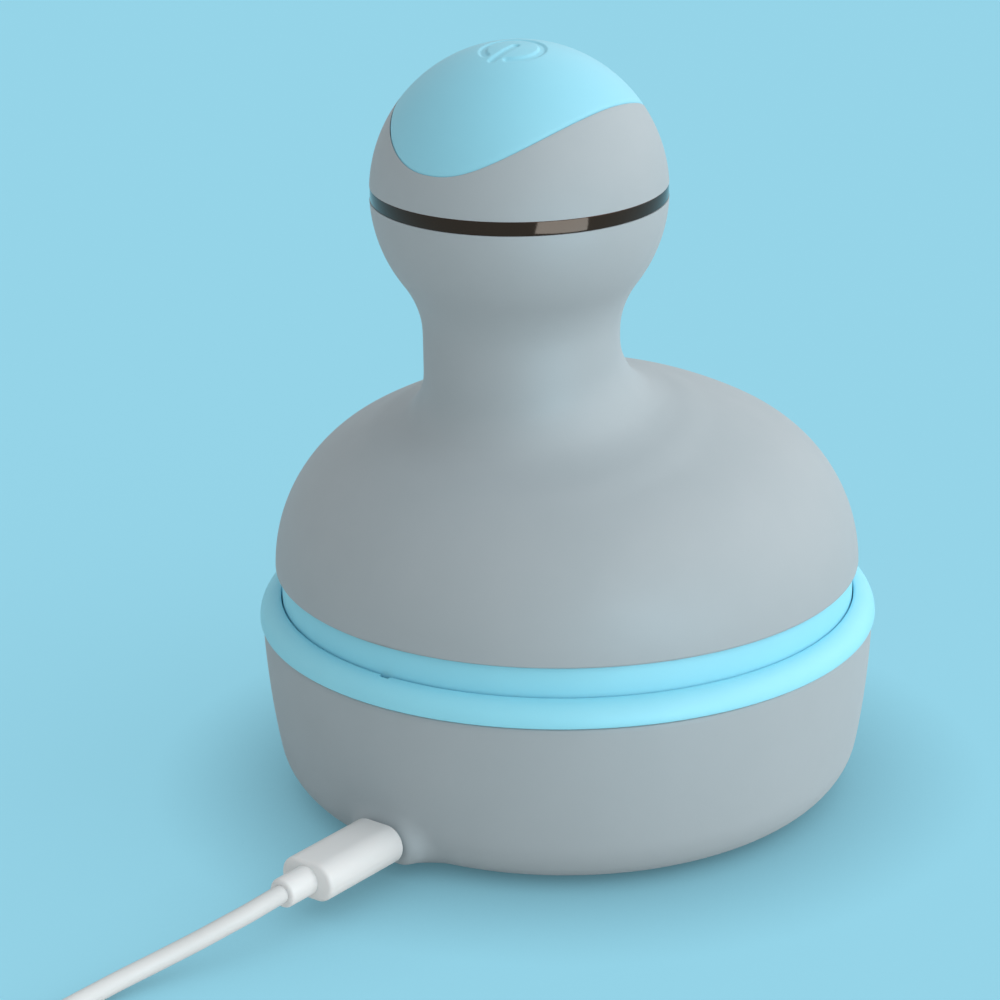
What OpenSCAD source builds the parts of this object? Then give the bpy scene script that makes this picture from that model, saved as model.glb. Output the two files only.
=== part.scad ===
// Electric scalp massager standing on its charging base, with the charging cable plugged in.
// Origin: centre of the underside of the base, at the surface it stands on. +Z is up, and -Y is
// the front, where the cable plugs in and towards which the handle and the button lean.

/* [Charging base] */
// Outer radius of the blue rim, the widest part
base_r = 55; // [52:0.5:60]
// Height of the grey bowl, without the feet
bowl_h = 31.6; // [30:0.2:36]
// Step from the rim's outside down to the bowl's edge
rim_step = 0.5; // [0.2:0.1:1]
// Rounding of the rim
rim_round = 3.9; // [3.2:0.1:4.4]
// Radius of the bowl's slightly bulging side
bowl_side_r = 150; // [120:5:220]
// Rounding between the bowl's side and its bottom
bowl_round = 12.2; // [10:0.2:13]
// Wall of the bowl
bowl_wall = 2.4; // [2:0.1:2.8]
// Floor of the bowl
bowl_floor = 3.2; // [2.8:0.1:3.6]
// Wall of the blue cup that holds the massage heads
cup_wall = 1.8; // [1.4:0.1:2.2]
// Gap under the cup's floor, for the circuit board
board_room = 4.6; // [4.4:0.1:5.2]
// Depth at which the massager sits inside the rim
seat_depth = 2; // [1.5:0.1:2.4]
// Width of the seat that carries the massager
seat_w = 4.1; // [3.6:0.1:4.6]
// Radius of the post in the middle of the cup
post_r = 6; // [5.4:0.1:6.4]
// Radius of the opening in the bowl's floor
floor_hole_r = 34; // [32:0.5:35]
// Radius of the bottom cover
cover_r = 38; // [37:0.5:39]
// Thickness of the bottom cover
cover_t = 2; // [1.6:0.1:2.2]
// Distance of the socket's face inside the rim's outside
port_in = 1; // [0:0.1:1.6]
// Width of the boss round the socket
port_w = 15; // [14.4:0.1:16]
// Height of the rubber feet below the bowl
foot_h = 0.8; // [0.5:0.1:1.5]
// Radius of the rubber feet
foot_r = 4.5; // [3.5:0.1:5]

/* [Massager body] */
// Distance of the dome's lower edge inside the rim's outside
dome_in = 3.1; // [2.6:0.1:3.3]
// Radius of the dome's shoulder
shoulder_r = 27.6; // [25:0.2:29]
// Radius of the dome's crown
crown_r = 77.3; // [74:0.5:84]
// Height of the blue band between the rim and the dome
band_h = 5.4; // [4.8:0.1:6.5]
// Wall of the grey housing
housing_wall = 2.2; // [1.8:0.1:2.4]
// Distance of the neck in front of the dome's axis
neck_offset = 12.2; // [11:0.1:13]
// Radius of the neck at its waist
neck_r = 16.8; // [16.4:0.1:18]
// Radius of the hollow curve between the neck and the head
neck_curve_r = 17.8; // [16:0.2:20]
// Radius of the flare between the neck and the dome
flare_r = 15; // [13:0.2:16]
// Depth at which the flare sinks into the dome
flare_sink = 0.5; // [0.2:0.1:0.8]
// Radius of the round head
head_r = 25.4; // [25:0.1:27]
// Height of the head's centre above the dome's lower edge
head_rise = 70.2; // [70:0.2:74]
// Height of the dark trim ring
trim_h = 2.4; // [2:0.1:3.2]
// Distance of the trim ring's underside below the head's centre
trim_drop = 0.9; // [0.4:0.1:1.4]

/* [Button] */
// Half the length of the blue button, from front to back
button_a = 24.3; // [23.6:0.1:24.6]
// Half the width of the blue button
button_b = 18.8; // [17:0.1:20]
// Wall of the button
button_wall = 1.8; // [1.5:0.1:2.2]
// Gap round the button
button_gap = 0.25; // [0.2:0.05:0.4]
// Travel of the button
button_travel = 0.6; // [0.4:0.1:0.8]
// Outer radius of the on/off symbol
symbol_r = 6; // [5:0.1:7]
// Stroke of the on/off symbol
symbol_w = 1.1; // [0.8:0.1:1.4]
// Depth of the on/off symbol
symbol_depth = 0.4; // [0.2:0.05:0.6]
// Radius of the button spring at its wire
spring_r = 4.6; // [4.2:0.1:5.2]
// Wire of the button spring
spring_wire = 0.7; // [0.5:0.05:0.8]
// Turns of the button spring
spring_turns = 5; // [4:1:6]

/* [Massage heads] */
// Radius of the silicone heads
massage_r = 17.2; // [16:0.1:17.4]
// Thickness of the silicone disc
disc_t = 3; // [2.6:0.1:3.4]
// Length of the silicone fingers
finger_l = 16; // [14:0.2:16.4]
// Radius of a finger at its root
finger_r = 1.9; // [1.6:0.1:2.1]
// Radius of a finger's rounded tip
tip_r = 1.3; // [1:0.1:1.5]

/* [Drive] */
// Module of the gears that turn the heads
head_module = 1; // [1:0.02:1.02]
// Teeth of each head gear, a multiple of four
head_teeth = 36; // [36:4:36]
// Teeth of the final pinion
final_teeth = 10; // [10:1:10]
// Module of the first gear pair
motor_module = 0.8; // [0.78:0.01:0.82]
// Teeth of the motor pinion
motor_teeth = 10; // [10:1:11]
// Teeth of the reduction gear
reduction_teeth = 25; // [25:1:26]
// Thickness of the head gears
gear_t = 4.5; // [4:0.1:5]
// Thickness of the reduction gear's wheel
wheel_t = 3.5; // [3:0.1:4]
// Radius of the head shafts
shaft_r = 2.5; // [2.2:0.1:2.8]
// Radius of the countershaft
pin_r = 1.5; // [1.2:0.1:1.8]
// Radius of the motor
motor_r = 12.2; // [11.5:0.1:12.6]
// Length of the motor
motor_l = 25; // [22:0.5:26]
// Radius of the battery cell
cell_r = 9.15; // [8.5:0.05:9.5]
// Length of the battery cell
cell_l = 35; // [32:0.5:36]

/* [Cable] */
// Diameter of the cable
cord_d = 3.2; // [3:0.1:3.4]
// Width of the moulded plug
plug_w = 11; // [10.4:0.1:12]
// Thickness of the moulded plug
plug_t = 6.9; // [6.4:0.1:7.2]
// Length of the moulded plug
plug_l = 19; // [17:0.5:22]
// Radius of the plug's round collar
collar_r = 2.6; // [2.3:0.1:3]
// Length of the plug's round collar
collar_l = 6.3; // [5:0.1:7]
// Height of the plug's axis above the surface
plug_z = 7; // [6.8:0.1:7.4]

/* [Hidden] */
$fn = 64;

// clearances
tiny = 0.01;
fit = 0.1;        // between pieces that only sit together
slip = 0.05;      // round a shaft that turns
part_gap = 0.2;   // between mouldings
run_gap = 0.3;    // between a turning piece and what it passes
far = 200;        // longer than the whole part
crease = 0.02;    // two arcs that would only touch cross by this much, so that they meet in one clean edge

// colours
grey = "#9fabb2";
blue = "#8fdcf0";
dark = "#2e2a27";
white = "#e4e6e8";
steel = "#c3c6c9";
copper = "#b8733d";
green = "#2f6b4a";
black = "#26272a";
cream = "#dcd8cc";

// heights of the base, from the surface up
bowl_z = foot_h;
split_z = bowl_z + bowl_h;
rim_rise = 0.2;
rim_top = split_z + rim_rise + rim_round;
seat_z = rim_top - seat_depth;
cover_top = bowl_z + cover_t;
floor_top = bowl_z + bowl_floor;
cup_z = floor_top + board_room;
cup_floor = cup_z + cup_wall;

// the bowl's side arc and the rounding that is tangent to it
split_r = base_r - rim_step;
crest_rise = 3.6;
crest_z = split_z + crest_rise;
side_x = split_r - sqrt(pow(bowl_side_r, 2) - pow(crest_rise, 2));
round_z = bowl_z + bowl_round;
round_x = side_x + sqrt(pow(bowl_side_r - bowl_round + crease, 2) - pow(crest_z - round_z, 2));

// the cup
rim_x = base_r - rim_round;
recess_r = rim_x;
cup_r = recess_r - seat_w;
cup_round = 4;
spigot_h = 4;
spigot_r = side_x + sqrt(pow(bowl_side_r - bowl_wall, 2) - pow(crest_z - split_z + spigot_h, 2)) - part_gap;
cup_boss_r = 3.4;
cup_boss_at = 20.5;
screw_r = 1.05;
screw_head_r = 2.4;
screw_head_h = 1.2;
pilot_r = screw_r + slip;
screw_way_r = screw_r + fit;
notch_w = 2.2;
notch_d = 1;

// the USB socket at the front
socket_w = 7.5;
socket_h = 2.5;
socket_l = 6;
sheet = 0.3;
board_t = 1.2;
board_top = plug_z - socket_h / 2;
board_z = board_top - board_t;
face_y = port_in - base_r;
socket_front = face_y + 1.7;
port_h = plug_t + 1.6;
port_round = 3.6;
port_depth = 8.5;
pocket_w = 10.4;
pocket_wall = 3;
board_w = 27;
board_back = 16;
tongue_w = pocket_w - 4 * part_gap;
tongue_from = -36;
foot_at = 30.5;
foot_sunk = 0.6;

// radius and heights of the massager
dome_r = base_r - dome_in;
dome_z = rim_top + band_h;
plate_z = seat_z + 2.5;
plate_t = 3;
plate_top = plate_z + plate_t;
collar_wall = 2;
chassis_r = recess_r - part_gap;
lip_top = dome_z + 3.1;
lip_r = dome_r - housing_wall - 0.5;
lip_wall = 2;
head_z = dome_z + head_rise;
trim_z = head_z - trim_drop;
trim_top = trim_z + trim_h;

// the dome's two tangent arcs
shoulder_x = dome_r - shoulder_r;
crown_z = dome_z - sqrt(pow(crown_r - shoulder_r + crease, 2) - pow(shoulder_x, 2));
crown_dir = [shoulder_x, dome_z - crown_z] / (crown_r - shoulder_r + crease);

// the neck: waist height from the tangent circles of head and hollow curve
neck_curve_x = neck_r - crease + neck_curve_r;
neck_reach = head_r + neck_curve_r - crease;
waist_z = head_z - sqrt(pow(neck_reach, 2) - pow(neck_curve_x, 2));
// the flare turns about a line from the crown's centre through the neck's axis
flare_nest = 0.15;   // the flare's narrow end lies this far inside the neck's surface
flare_x = neck_r - flare_nest + flare_r;
flare_h = sqrt(pow(crown_r + flare_r, 2) - pow(flare_x, 2)) - flare_sink;
neck_overlap = 8;
flare_tilt = asin(neck_offset / flare_h);
flare_waist_z = crown_z + flare_h * cos(flare_tilt);

// post, recess and coils
post_wall = 1.4;
post_top = plate_top + 1.2;
recess_in = post_r + 0.5;
recess_wall = 1.4;
recess_top = post_top + 1;
hub_top = recess_top + recess_wall;
core_r = 2.5;
core_l = 8;
coil_gap = 0.15;

// gear train
head_pitch = head_module * head_teeth / 2;
head_at = head_pitch;
gear_z = hub_top + 2.4;
gear_top = gear_z + gear_t;
final_gap = head_module * (head_teeth + final_teeth) / 2;
reduction_at = [head_at - final_gap * cos(45), head_at - final_gap * sin(45)];
wheel_z = gear_top + 0.8;
wheel_top = wheel_z + wheel_t;
deck_z = wheel_top + 1.2;
deck_t = 2.5;
deck_top = deck_z + deck_t;
pair_gap = motor_module * (motor_teeth + reduction_teeth) / 2;
// the motor stands on the neck's axis, or as near to it as the gear pair allows
motor_dir = [0 - reduction_at[0], -neck_offset - reduction_at[1]];
motor_at = reduction_at + motor_dir / norm(motor_dir) * pair_gap;
motor_angle = atan2(motor_dir[1], motor_dir[0]);
pressure = 20;
backlash = 0.12;
addendum = 0.82;
dedendum = 1.12;

// bushes, seals, pillars and bosses of the massager
bush_r = shaft_r + 1.5;
bush_boss_r = bush_r + 2.2;
seal_r = bush_r + 0.8;
seal_t = 1.3;
pillar_r = 3.4;
boss_at = lip_r - 5.9;
pillar_at = boss_at - 7.8;
boss_r = 3.1;
boss_rib = 2.4;
deck_r = boss_at - boss_r - 0.8;

// motor, battery and boards in the neck and head
motor_top = deck_top + motor_l;
motor_nose_r = 4.9;
motor_nose_h = 1.5;
motor_axle_r = 1;
motor_screw_at = 8;
cradle_wall = 1.2;
cradle_z = motor_top + fit;
cell_z = cradle_z + cradle_wall + fit;
cell_top = cell_z + cell_l;
cradle_top = cell_top + 0.6;
head_board_r = 14;
head_board_z = cradle_top + fit;
head_board_top = head_board_z + board_t;
switch_w = 6;
switch_h = 3.1;
switch_top = head_board_top + switch_h;
plunger_r = 1.75;
plunger_up = 1;
stem_r = 2.4;
stem_z = switch_top + plunger_up + fit;
button_z = head_z + 5;
spring_z = head_board_top + fit;
spring_top = head_z + sqrt(pow(head_r - button_wall, 2) - pow(spring_r + spring_wire, 2)) - 1.6;

// massage heads
disc_top = plate_z - 3;
disc_z = disc_top - disc_t;
hub_r = 5.5;
finger_rings = [[1, 0], [7, 7.6], [13, 14.2]];

// the plug and the cable; the route's points are where the cable's centre runs
tip_w = 6.7;
tip_h = 1.7;
tip_l = 6.2;
tip_wall = 0.25;
plug_face = face_y - fit;
plug_end = plug_face - plug_l;
collar_end = plug_end - collar_l;
cord_r = cord_d / 2;
lead_sides = 8;
coil_sides = 6;
tie_t = 0.5;
coil_at = [14.6, -156];
coil_low = cord_r + tie_t + 0.1;
coil_layer = cord_d + 0.55;
coil_pitch = cord_d + 0.5;
coil_turns = 6.25;
coil_steps = 24;
coil_out = 22;
coil_climb = 0.5;
coil_middle = coil_turns / 2;
lead_route = [[0, -83.5, 6.9], [-0.4, -87.5, 6.5], [-1.4, -91.5, 5.8], [-2.8, -96, 4.8], [-4.4, -101, 3.8],
    [-5.8, -106, 3], [-6.8, -111, 2.5], [-7.3, -116, 2.25], [-7.5, -122, 2.2], [-7.45, -129, 2.2],
    [-7.4, -136, 2.2], [-7.4, -143, 2.2]];
tail_route = [[22, -178, 5.6], [28, -178, 5.1], [34, -178, 4.6], [39, -178, 4.4]];
far_plug_at = [44, -178, 4.4];
far_w = 15.5;
far_t = 8;
far_l = 22;
far_collar_l = 5;
far_shell_w = 12;
far_shell_t = 4.5;
far_shell_l = 12;

// ---------- shared shapes ----------

// a rod from z = low to z = high
module rod(r, low, high) {
    translate([0, 0, low]) cylinder(r = r, h = high - low);
}

// a ring from z = low to z = high
module ring(r, bore, low, high) {
    difference() {
        rod(r, low, high);
        rod(bore, low - 1, high + 1);
    }
}

// a block by its two corners
module block(a, b) {
    translate(a) cube(b - a);
}

// a flat outline with round corners, centred
module round_rect(w, h, r) {
    square([w - 2 * r, h], center = true);
    square([w, h - 2 * r], center = true);
    for (x = [-1, 1], y = [-1, 1])
        translate([x * (w / 2 - r), y * (h / 2 - r)]) circle(r);
}

// a bar along -Y with a rounded section, centred on height z
module bar(w, h, r, from, to, z) {
    translate([0, from, z]) rotate([90, 0, 0]) linear_extrude(from - to) round_rect(w, h, r);
}

// at each of the four massage heads
module at_heads() {
    for (i = [0:3]) translate(head_place(i)) children();
}

// at four places on a circle
module at_four(r, turn = 0) {
    for (i = [0:3]) rotate(turn + 90 * i) translate([r, 0, 0]) children();
}

function head_place(i) = [(i == 0 || i == 3 ? 1 : -1) * head_at, (i < 2 ? 1 : -1) * head_at, 0];

// ---------- gears ----------

function involute(a) = tan(a) * 180 / PI - a;
// half the angle that a tooth fills at radius r
function tooth_half(teeth, m, r) =
    let (pitch = m * teeth / 2, base = pitch * cos(pressure))
    90 / teeth - backlash / pitch * 90 / PI + involute(pressure) - (r > base ? involute(acos(base / r)) : 0);
function gear_points(teeth, m) =
    let (pitch = m * teeth / 2, base = pitch * cos(pressure), root = pitch - dedendum * m, tip = pitch + addendum * m,
         low = max(root, base), radii = [root, low, (low + 2 * pitch) / 3, pitch + 0.3 * m, tip])
    [for (i = [0:teeth - 1], side = [-1, 1], k = [0:4])
        let (r = radii[side < 0 ? k : 4 - k], a = 360 * i / teeth + side * tooth_half(teeth, m, r))
        r * [cos(a), sin(a)]];

// a spur gear with a tooth pointing at angle turn
module spur(teeth, m, turn, low, high) {
    translate([0, 0, low]) rotate(turn) linear_extrude(high - low) polygon(gear_points(teeth, m));
}

// ---------- charging base ----------

// section of the bowl, set in by wall
module bowl_section(wall) {
    out = [round_x, round_z] + 3 * bowl_round * [round_x - side_x, round_z - crest_z] / (bowl_side_r - bowl_round);
    intersection() {
        translate([side_x, crest_z]) circle(bowl_side_r - wall);
        union() {
            polygon([[0, 0], [round_x, 0], [round_x, round_z], out, [out[0], far], [0, far]]);
            translate([round_x, round_z]) circle(bowl_round - wall + crease);
        }
        translate([0, bowl_z + wall]) square([far, split_z - bowl_z - wall]);
    }
}

module base_shell() {
    color(grey) difference() {
        union() {
            rotate_extrude() bowl_section(0);
            bar(port_w, port_h, port_round, face_y + port_depth, face_y, plug_z);
        }
        intersection() {
            rotate_extrude() bowl_section(bowl_wall);
            rod(far, floor_top, far);
        }
        rod(base_r, split_z, far);
        rod(floor_hole_r, -1, floor_top + 1);
        rod(cover_r + part_gap, -1, cover_top);
        // pocket for the front of the board, and the socket's window
        block([-pocket_w / 2, face_y + pocket_wall, board_z - fit], [pocket_w / 2, -floor_hole_r, cup_z]);
        bar(socket_w + 2 * part_gap, socket_h + 2 * part_gap, 0.8, face_y + pocket_wall + 1, face_y - 1, plug_z);
    }
    // rests for the board
    color(grey) for (x = [-1, 1])
        translate([x * 10, tongue_from - 0.2, 0]) rod(1.4, floor_top - tiny, board_z - fit);
}

// section of the cup with its rim and its post
module cup_section() {
    outer = cup_r + cup_wall;
    outer_round = cup_round + cup_wall;
    difference() {
        union() {
            translate([0, cup_z + outer_round]) square([outer, seat_z - cup_z - outer_round]);
            translate([0, cup_z]) square([outer - outer_round, outer_round + 1]);
            translate([outer - outer_round, cup_z + outer_round]) circle(outer_round);
            translate([cup_r, split_z - spigot_h]) square([spigot_r - cup_r, spigot_h + 1]);
            translate([cup_r, split_z]) square([rim_x - cup_r, rim_top - split_z]);
            intersection() {
                translate([rim_x, split_z + rim_rise]) circle(rim_round);
                translate([cup_r, split_z]) square([far, far]);
            }
        }
        translate([0, seat_z]) square([recess_r, far]);
        translate([0, cup_floor + cup_round]) square([cup_r, far]);
        translate([0, cup_floor]) square([cup_r - cup_round, far]);
        translate([cup_r - cup_round, cup_floor + cup_round]) circle(cup_round);
        translate([-far, 0]) square([far, far]);
    }
}

module base_cup() {
    color(blue) difference() {
        union() {
            rotate_extrude() cup_section();
            rod(post_r, cup_z, post_top);
            at_four(cup_boss_at * sqrt(2), 45) rod(cup_boss_r, cover_top + fit, cup_z + tiny);
        }
        rod(post_r - post_wall, cup_z - 1, post_top - post_wall);
        at_four(cup_boss_at * sqrt(2), 45) rod(pilot_r, 0, cup_z - 0.5);
        // small key notch in the rim
        block([-notch_w / 2, -recess_r - notch_d, rim_top - notch_d], [notch_w / 2, -recess_r + 1, far]);
    }
}

module bottom_cover() {
    color(grey) difference() {
        union() {
            rod(cover_r, bowl_z, cover_top);
            for (x = [-1, 1]) translate([x * 9, board_back - 5, 0]) rod(2, cover_top - tiny, board_z - fit);
        }
        at_four(cup_boss_at * sqrt(2), 45) rod(screw_way_r, 0, far);
        at_four(cup_boss_at * sqrt(2), 45) rod(screw_head_r + fit, 0, bowl_z + screw_head_h + fit);
        at_four(foot_at) rod(foot_r + fit, 0, bowl_z + foot_sunk);
    }
}

module base_feet() {
    color(black) at_four(foot_at) rod(foot_r, 0, bowl_z + foot_sunk);
}

// a screw that points up, its head's underside at z = head
module screw(head, end) {
    difference() {
        union() {
            rod(screw_head_r, head - screw_head_h, head);
            rod(screw_r, head - tiny, end);
        }
        for (a = [0, 90]) rotate(a)
            block([-screw_head_r * 0.6, -0.3, head - screw_head_h - 1], [screw_head_r * 0.6, 0.3, head - 0.6]);
    }
}

module base_screws() {
    color(steel) at_four(cup_boss_at * sqrt(2), 45) screw(bowl_z + screw_head_h + fit, cup_z - 0.8);
}

module base_board() {
    color(green) {
        block([-board_w / 2, tongue_from, board_z], [board_w / 2, board_back, board_top]);
        block([-tongue_w / 2, face_y + pocket_wall + fit, board_z], [tongue_w / 2, tongue_from + tiny, board_top]);
    }
}

module base_chips() {
    color(black) {
        block([-9, -26, board_top], [-3, -20, board_top + 1.2]);
        block([3, -27, board_top], [9, -21, board_top + 2]);
        block([-10, -8, board_top], [-6, -2, board_top + 1]);
        block([-2, 8, board_top], [2, 11, board_top + 1]);
    }
}

module usb_socket() {
    inner = [socket_w - 2 * sheet, socket_h - 2 * sheet];
    color(steel) {
        difference() {
            bar(socket_w, socket_h, 0.7, socket_front + socket_l, socket_front, plug_z);
            bar(inner[0], inner[1], 0.4, socket_front + socket_l - 0.5, socket_front - 1, plug_z);
        }
        // contact tongue
        block([-1.8, socket_front + 1, plug_z], [1.8, socket_front + socket_l - 0.5 + tiny, plug_z + 0.45]);
    }
}

module transmitter_core() {
    color(dark) rod(core_r, post_top - post_wall - fit - core_l, post_top - post_wall - fit);
}

module transmitter_coil() {
    low = post_top - post_wall - fit - core_l + 0.5;
    color(copper) ring(post_r - post_wall - coil_gap, core_r + coil_gap, low, post_top - post_wall - 2 * fit);
}

// ---------- massager ----------

// section of the dome down to height low, set in by wall
module dome_section(wall, low) {
    out = [shoulder_x, dome_z] + crown_r * crown_dir;
    intersection() {
        translate([0, crown_z]) circle(crown_r - wall);
        union() {
            polygon([[0, 0], [shoulder_x, 0], [shoulder_x, dome_z], out, [0, out[1]]]);
            translate([shoulder_x, dome_z]) circle(shoulder_r - wall);
        }
        translate([0, low]) square([far, far]);
    }
}

// the neck from height low, its hollow curve, and the round head up to the trim ring, set in by wall
module neck_section(wall, low) {
    touch = [neck_curve_x, waist_z - head_z] * (head_r - wall) / neck_reach + [0, head_z];
    translate([0, low]) square([neck_r - wall, waist_z - low + 2]);
    difference() {
        polygon([[0, waist_z], [neck_curve_x, waist_z], touch, [0, touch[1]]]);
        translate([neck_curve_x, waist_z]) circle(neck_curve_r + wall);
    }
    intersection() {
        translate([0, head_z]) circle(head_r - wall);
        translate([0, waist_z]) square([far, trim_z - waist_z]);
    }
}

// the flare, measured from the crown's centre along the tilted line
module flare_section(wall, low) {
    curve = [flare_x, flare_h];
    difference() {
        polygon([[0, low], curve * low / flare_h, curve, [0, flare_h]]);
        translate(curve) circle(flare_r + wall);
    }
}

module at_neck() {
    translate([0, -neck_offset, 0]) children();
}

module housing_body(wall, low) {
    flare_low = crown_r - 12;
    rotate_extrude($fn = 96) dome_section(wall, low);
    at_neck() rotate_extrude() neck_section(wall, flare_waist_z - neck_overlap);
    translate([0, 0, crown_z]) rotate([flare_tilt, 0, 0]) rotate_extrude() flare_section(wall, flare_low);
}

module upper_housing() {
    color(grey) difference() {
        union() {
            difference() {
                housing_body(0, dome_z);
                housing_body(housing_wall, dome_z - 1);
                at_neck() rod(head_r - housing_wall, trim_z - 0.5, far);
            }
            // screw bosses, each with a rib to the wall
            intersection() {
                at_four(boss_at) {
                    rod(boss_r, plate_top + fit, dome_z + shoulder_r);
                    block([0, -boss_rib / 2, lip_top + 1], [boss_r + 6, boss_rib / 2, dome_z + shoulder_r]);
                }
                union() {
                    rotate_extrude($fn = 96) dome_section(housing_wall / 2, dome_z);
                    rod(lip_r - lip_wall - fit, plate_top, dome_z + 1);
                }
            }
        }
        at_four(boss_at) rod(pilot_r, plate_top, plate_top + 11);
    }
}

module chassis() {
    color(blue) difference() {
        union() {
            ring(chassis_r, chassis_r - collar_wall, seat_z, dome_z - tiny);
            ring(lip_r, lip_r - lip_wall, plate_z, lip_top);
            rod(lip_r - 1, plate_z, plate_top);
            rod(recess_in + recess_wall, plate_top - tiny, hub_top);
            translate([reduction_at[0], reduction_at[1], 0]) rod(pin_r + 1.6, hub_top - tiny, gear_z - 0.6);
            at_heads() rod(bush_boss_r, plate_top - tiny, gear_z - 1);
            at_four(pillar_at) rod(pillar_r, plate_top - tiny, deck_z);
        }
        rod(recess_in, plate_z - 1, recess_top);
        translate([reduction_at[0], reduction_at[1], 0]) rod(pin_r, hub_top, far);
        at_heads() rod(bush_r, plate_z - 1, far);
        at_heads() rod(seal_r, plate_z - 1, plate_z + seal_t);
        at_four(pillar_at) rod(pilot_r, deck_z - 9, far);
        at_four(boss_at) rod(screw_way_r, plate_z - 1, plate_top + tiny);
        at_four(boss_at) rod(screw_head_r + fit, plate_z - 1, plate_z + screw_head_h + fit);
        // groove for the seal
        difference() {
            rod(lip_r + 1, lip_top - 2.3, lip_top - 0.7);
            rod(lip_r - 1.3, 0, far);
        }
    }
}

module housing_seal() {
    color(black) translate([0, 0, lip_top - 1.5]) rotate_extrude() translate([lip_r - 0.55, 0]) circle(0.7);
}

// the dark ring between the housing and the cap, with a spigot up and down
module trim_ring() {
    color(dark) at_neck() {
        difference() {
            intersection() {
                translate([0, 0, head_z]) sphere(head_r);
                rod(head_r, trim_z, trim_top);
            }
            rod(head_r - housing_wall - 1.2, trim_z - 1, trim_top + 1);
        }
        ring(head_r - housing_wall - part_gap, head_r - housing_wall - 1.2, trim_z - 1.6, trim_top + 1.6);
    }
}

// an upright oval, of the button's plan
module oval(grow, low, high) {
    translate([0, 0, low]) linear_extrude(high - low) scale([1, (button_a + grow) / (button_b + grow)])
        circle(button_b + grow, $fn = 96);
}

module top_cap() {
    color(grey) at_neck() difference() {
        intersection() {
            translate([0, 0, head_z]) sphere(head_r, $fn = 96);
            rod(head_r, trim_top, head_z + head_r);
        }
        translate([0, 0, head_z]) sphere(head_r - housing_wall, $fn = 96);
        rod(head_r - housing_wall, trim_top - 1, trim_top + 1.7);
        oval(0, trim_top + 2.2, far);
    }
}

// the on/off symbol seen from above: an open ring with a bar through its gap, to the front
module power_symbol() {
    gap_half = 24;
    difference() {
        circle(symbol_r);
        circle(symbol_r - symbol_w);
        polygon([[0, 0], 3 * symbol_r * [-sin(gap_half), -cos(gap_half)], 3 * symbol_r * [sin(gap_half), -cos(gap_half)]]);
    }
    translate([-symbol_w / 2, -symbol_r - symbol_w]) square([symbol_w, symbol_r + symbol_w * 0.6]);
}

module power_button() {
    color(blue) at_neck() {
        difference() {
            intersection() {
                translate([0, 0, head_z]) sphere(head_r, $fn = 96);
                oval(-button_gap, button_z, far);
            }
            translate([0, 0, head_z]) sphere(head_r - button_wall, $fn = 96);
            difference() {
                translate([0, 0, head_z]) linear_extrude(head_r + 1) power_symbol();
                translate([0, 0, head_z]) sphere(head_r - symbol_depth, $fn = 96);
            }
        }
        // stem over the switch, and the spring's seat round it
        intersection() {
            union() {
                rod(stem_r, stem_z, far);
                ring(spring_r + spring_wire, stem_r - tiny, spring_top + fit, far);
            }
            translate([0, 0, head_z]) sphere(head_r - button_wall + tiny, $fn = 96);
        }
    }
}

module switch_plunger() {
    color(dark) at_neck() rod(plunger_r, switch_top - 1.5, switch_top + plunger_up);
}

module switch_body() {
    color(steel) at_neck() difference() {
        translate([0, 0, head_board_top]) linear_extrude(switch_h) square(switch_w, center = true);
        rod(plunger_r + fit, switch_top - 1.5 - button_travel - fit, far);
    }
}

module head_board() {
    color(green) at_neck() rod(head_board_r, head_board_z, head_board_top);
}

// one tube along a line of points: frames from the direction of travel, held upright
function ahead(p, i) = let (d = p[min(i + 1, len(p) - 1)] - p[max(i - 1, 0)]) d / norm(d);
function tube_ring(c, d, r, sides, phase) =
    let (s = cross(d, [0, 0, 1]), u = s / norm(s), v = cross(u, d))
    [for (k = [0:sides - 1]) c + r * (cos(360 * k / sides + phase) * u + sin(360 * k / sides + phase) * v)];
module tube(points, r, sides, phase = 0) {
    n = len(points);
    rings = [for (i = [0:n - 1]) each tube_ring(points[i], ahead(points, i), r, sides, phase)];
    sides_faces = [for (i = [0:n - 2], k = [0:sides - 1])
        let (a = i * sides + k, b = i * sides + (k + 1) % sides)
        each [[a, a + sides, b], [b, a + sides, b + sides]]];
    start = [for (k = [1:sides - 2]) [0, k, k + 1]];
    last = (n - 1) * sides;
    end = [for (k = [1:sides - 2]) [last, last + k + 1, last + k]];
    polyhedron(points = rings, faces = concat(sides_faces, start, end));
}

// the spring's wire: flat at both ends, steady between
function spring_lift(t) = let (s = (t - 0.8) / (spring_turns - 1.6)) min(1, max(0, s));
spring_step = 18;
spring_points = [for (i = [0:spring_step * spring_turns])
    let (t = i / spring_step, low = spring_z + spring_wire / 2, high = spring_top - spring_wire / 2)
    [spring_r * cos(360 * t), spring_r * sin(360 * t),
     low + (high - low) * spring_lift(t) + spring_wire * 1.15 * (spring_lift(t) > 0 && spring_lift(t) < 1 ? 0 : 0)]];
module button_spring() {
    color(steel) at_neck() tube(spring_points, spring_wire / 2, 6);
}

module battery_cell() {
    color("#3a6ea5") at_neck() {
        rod(cell_r, cell_z, cell_top - 1);
        rod(cell_r * 0.4, cell_top - 1 - tiny, cell_top);
    }
}

module battery_cradle() {
    color(black) at_neck() difference() {
        rod(cell_r + fit + cradle_wall, cradle_z, cradle_top);
        rod(cell_r + fit, cradle_z + cradle_wall, cradle_top + 1);
        // open front, where the cell is laid in
        block([-cell_r * 0.7, -cell_r * 2, cradle_z + 4], [cell_r * 0.7, 0, cradle_top - 4]);
    }
}

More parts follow.
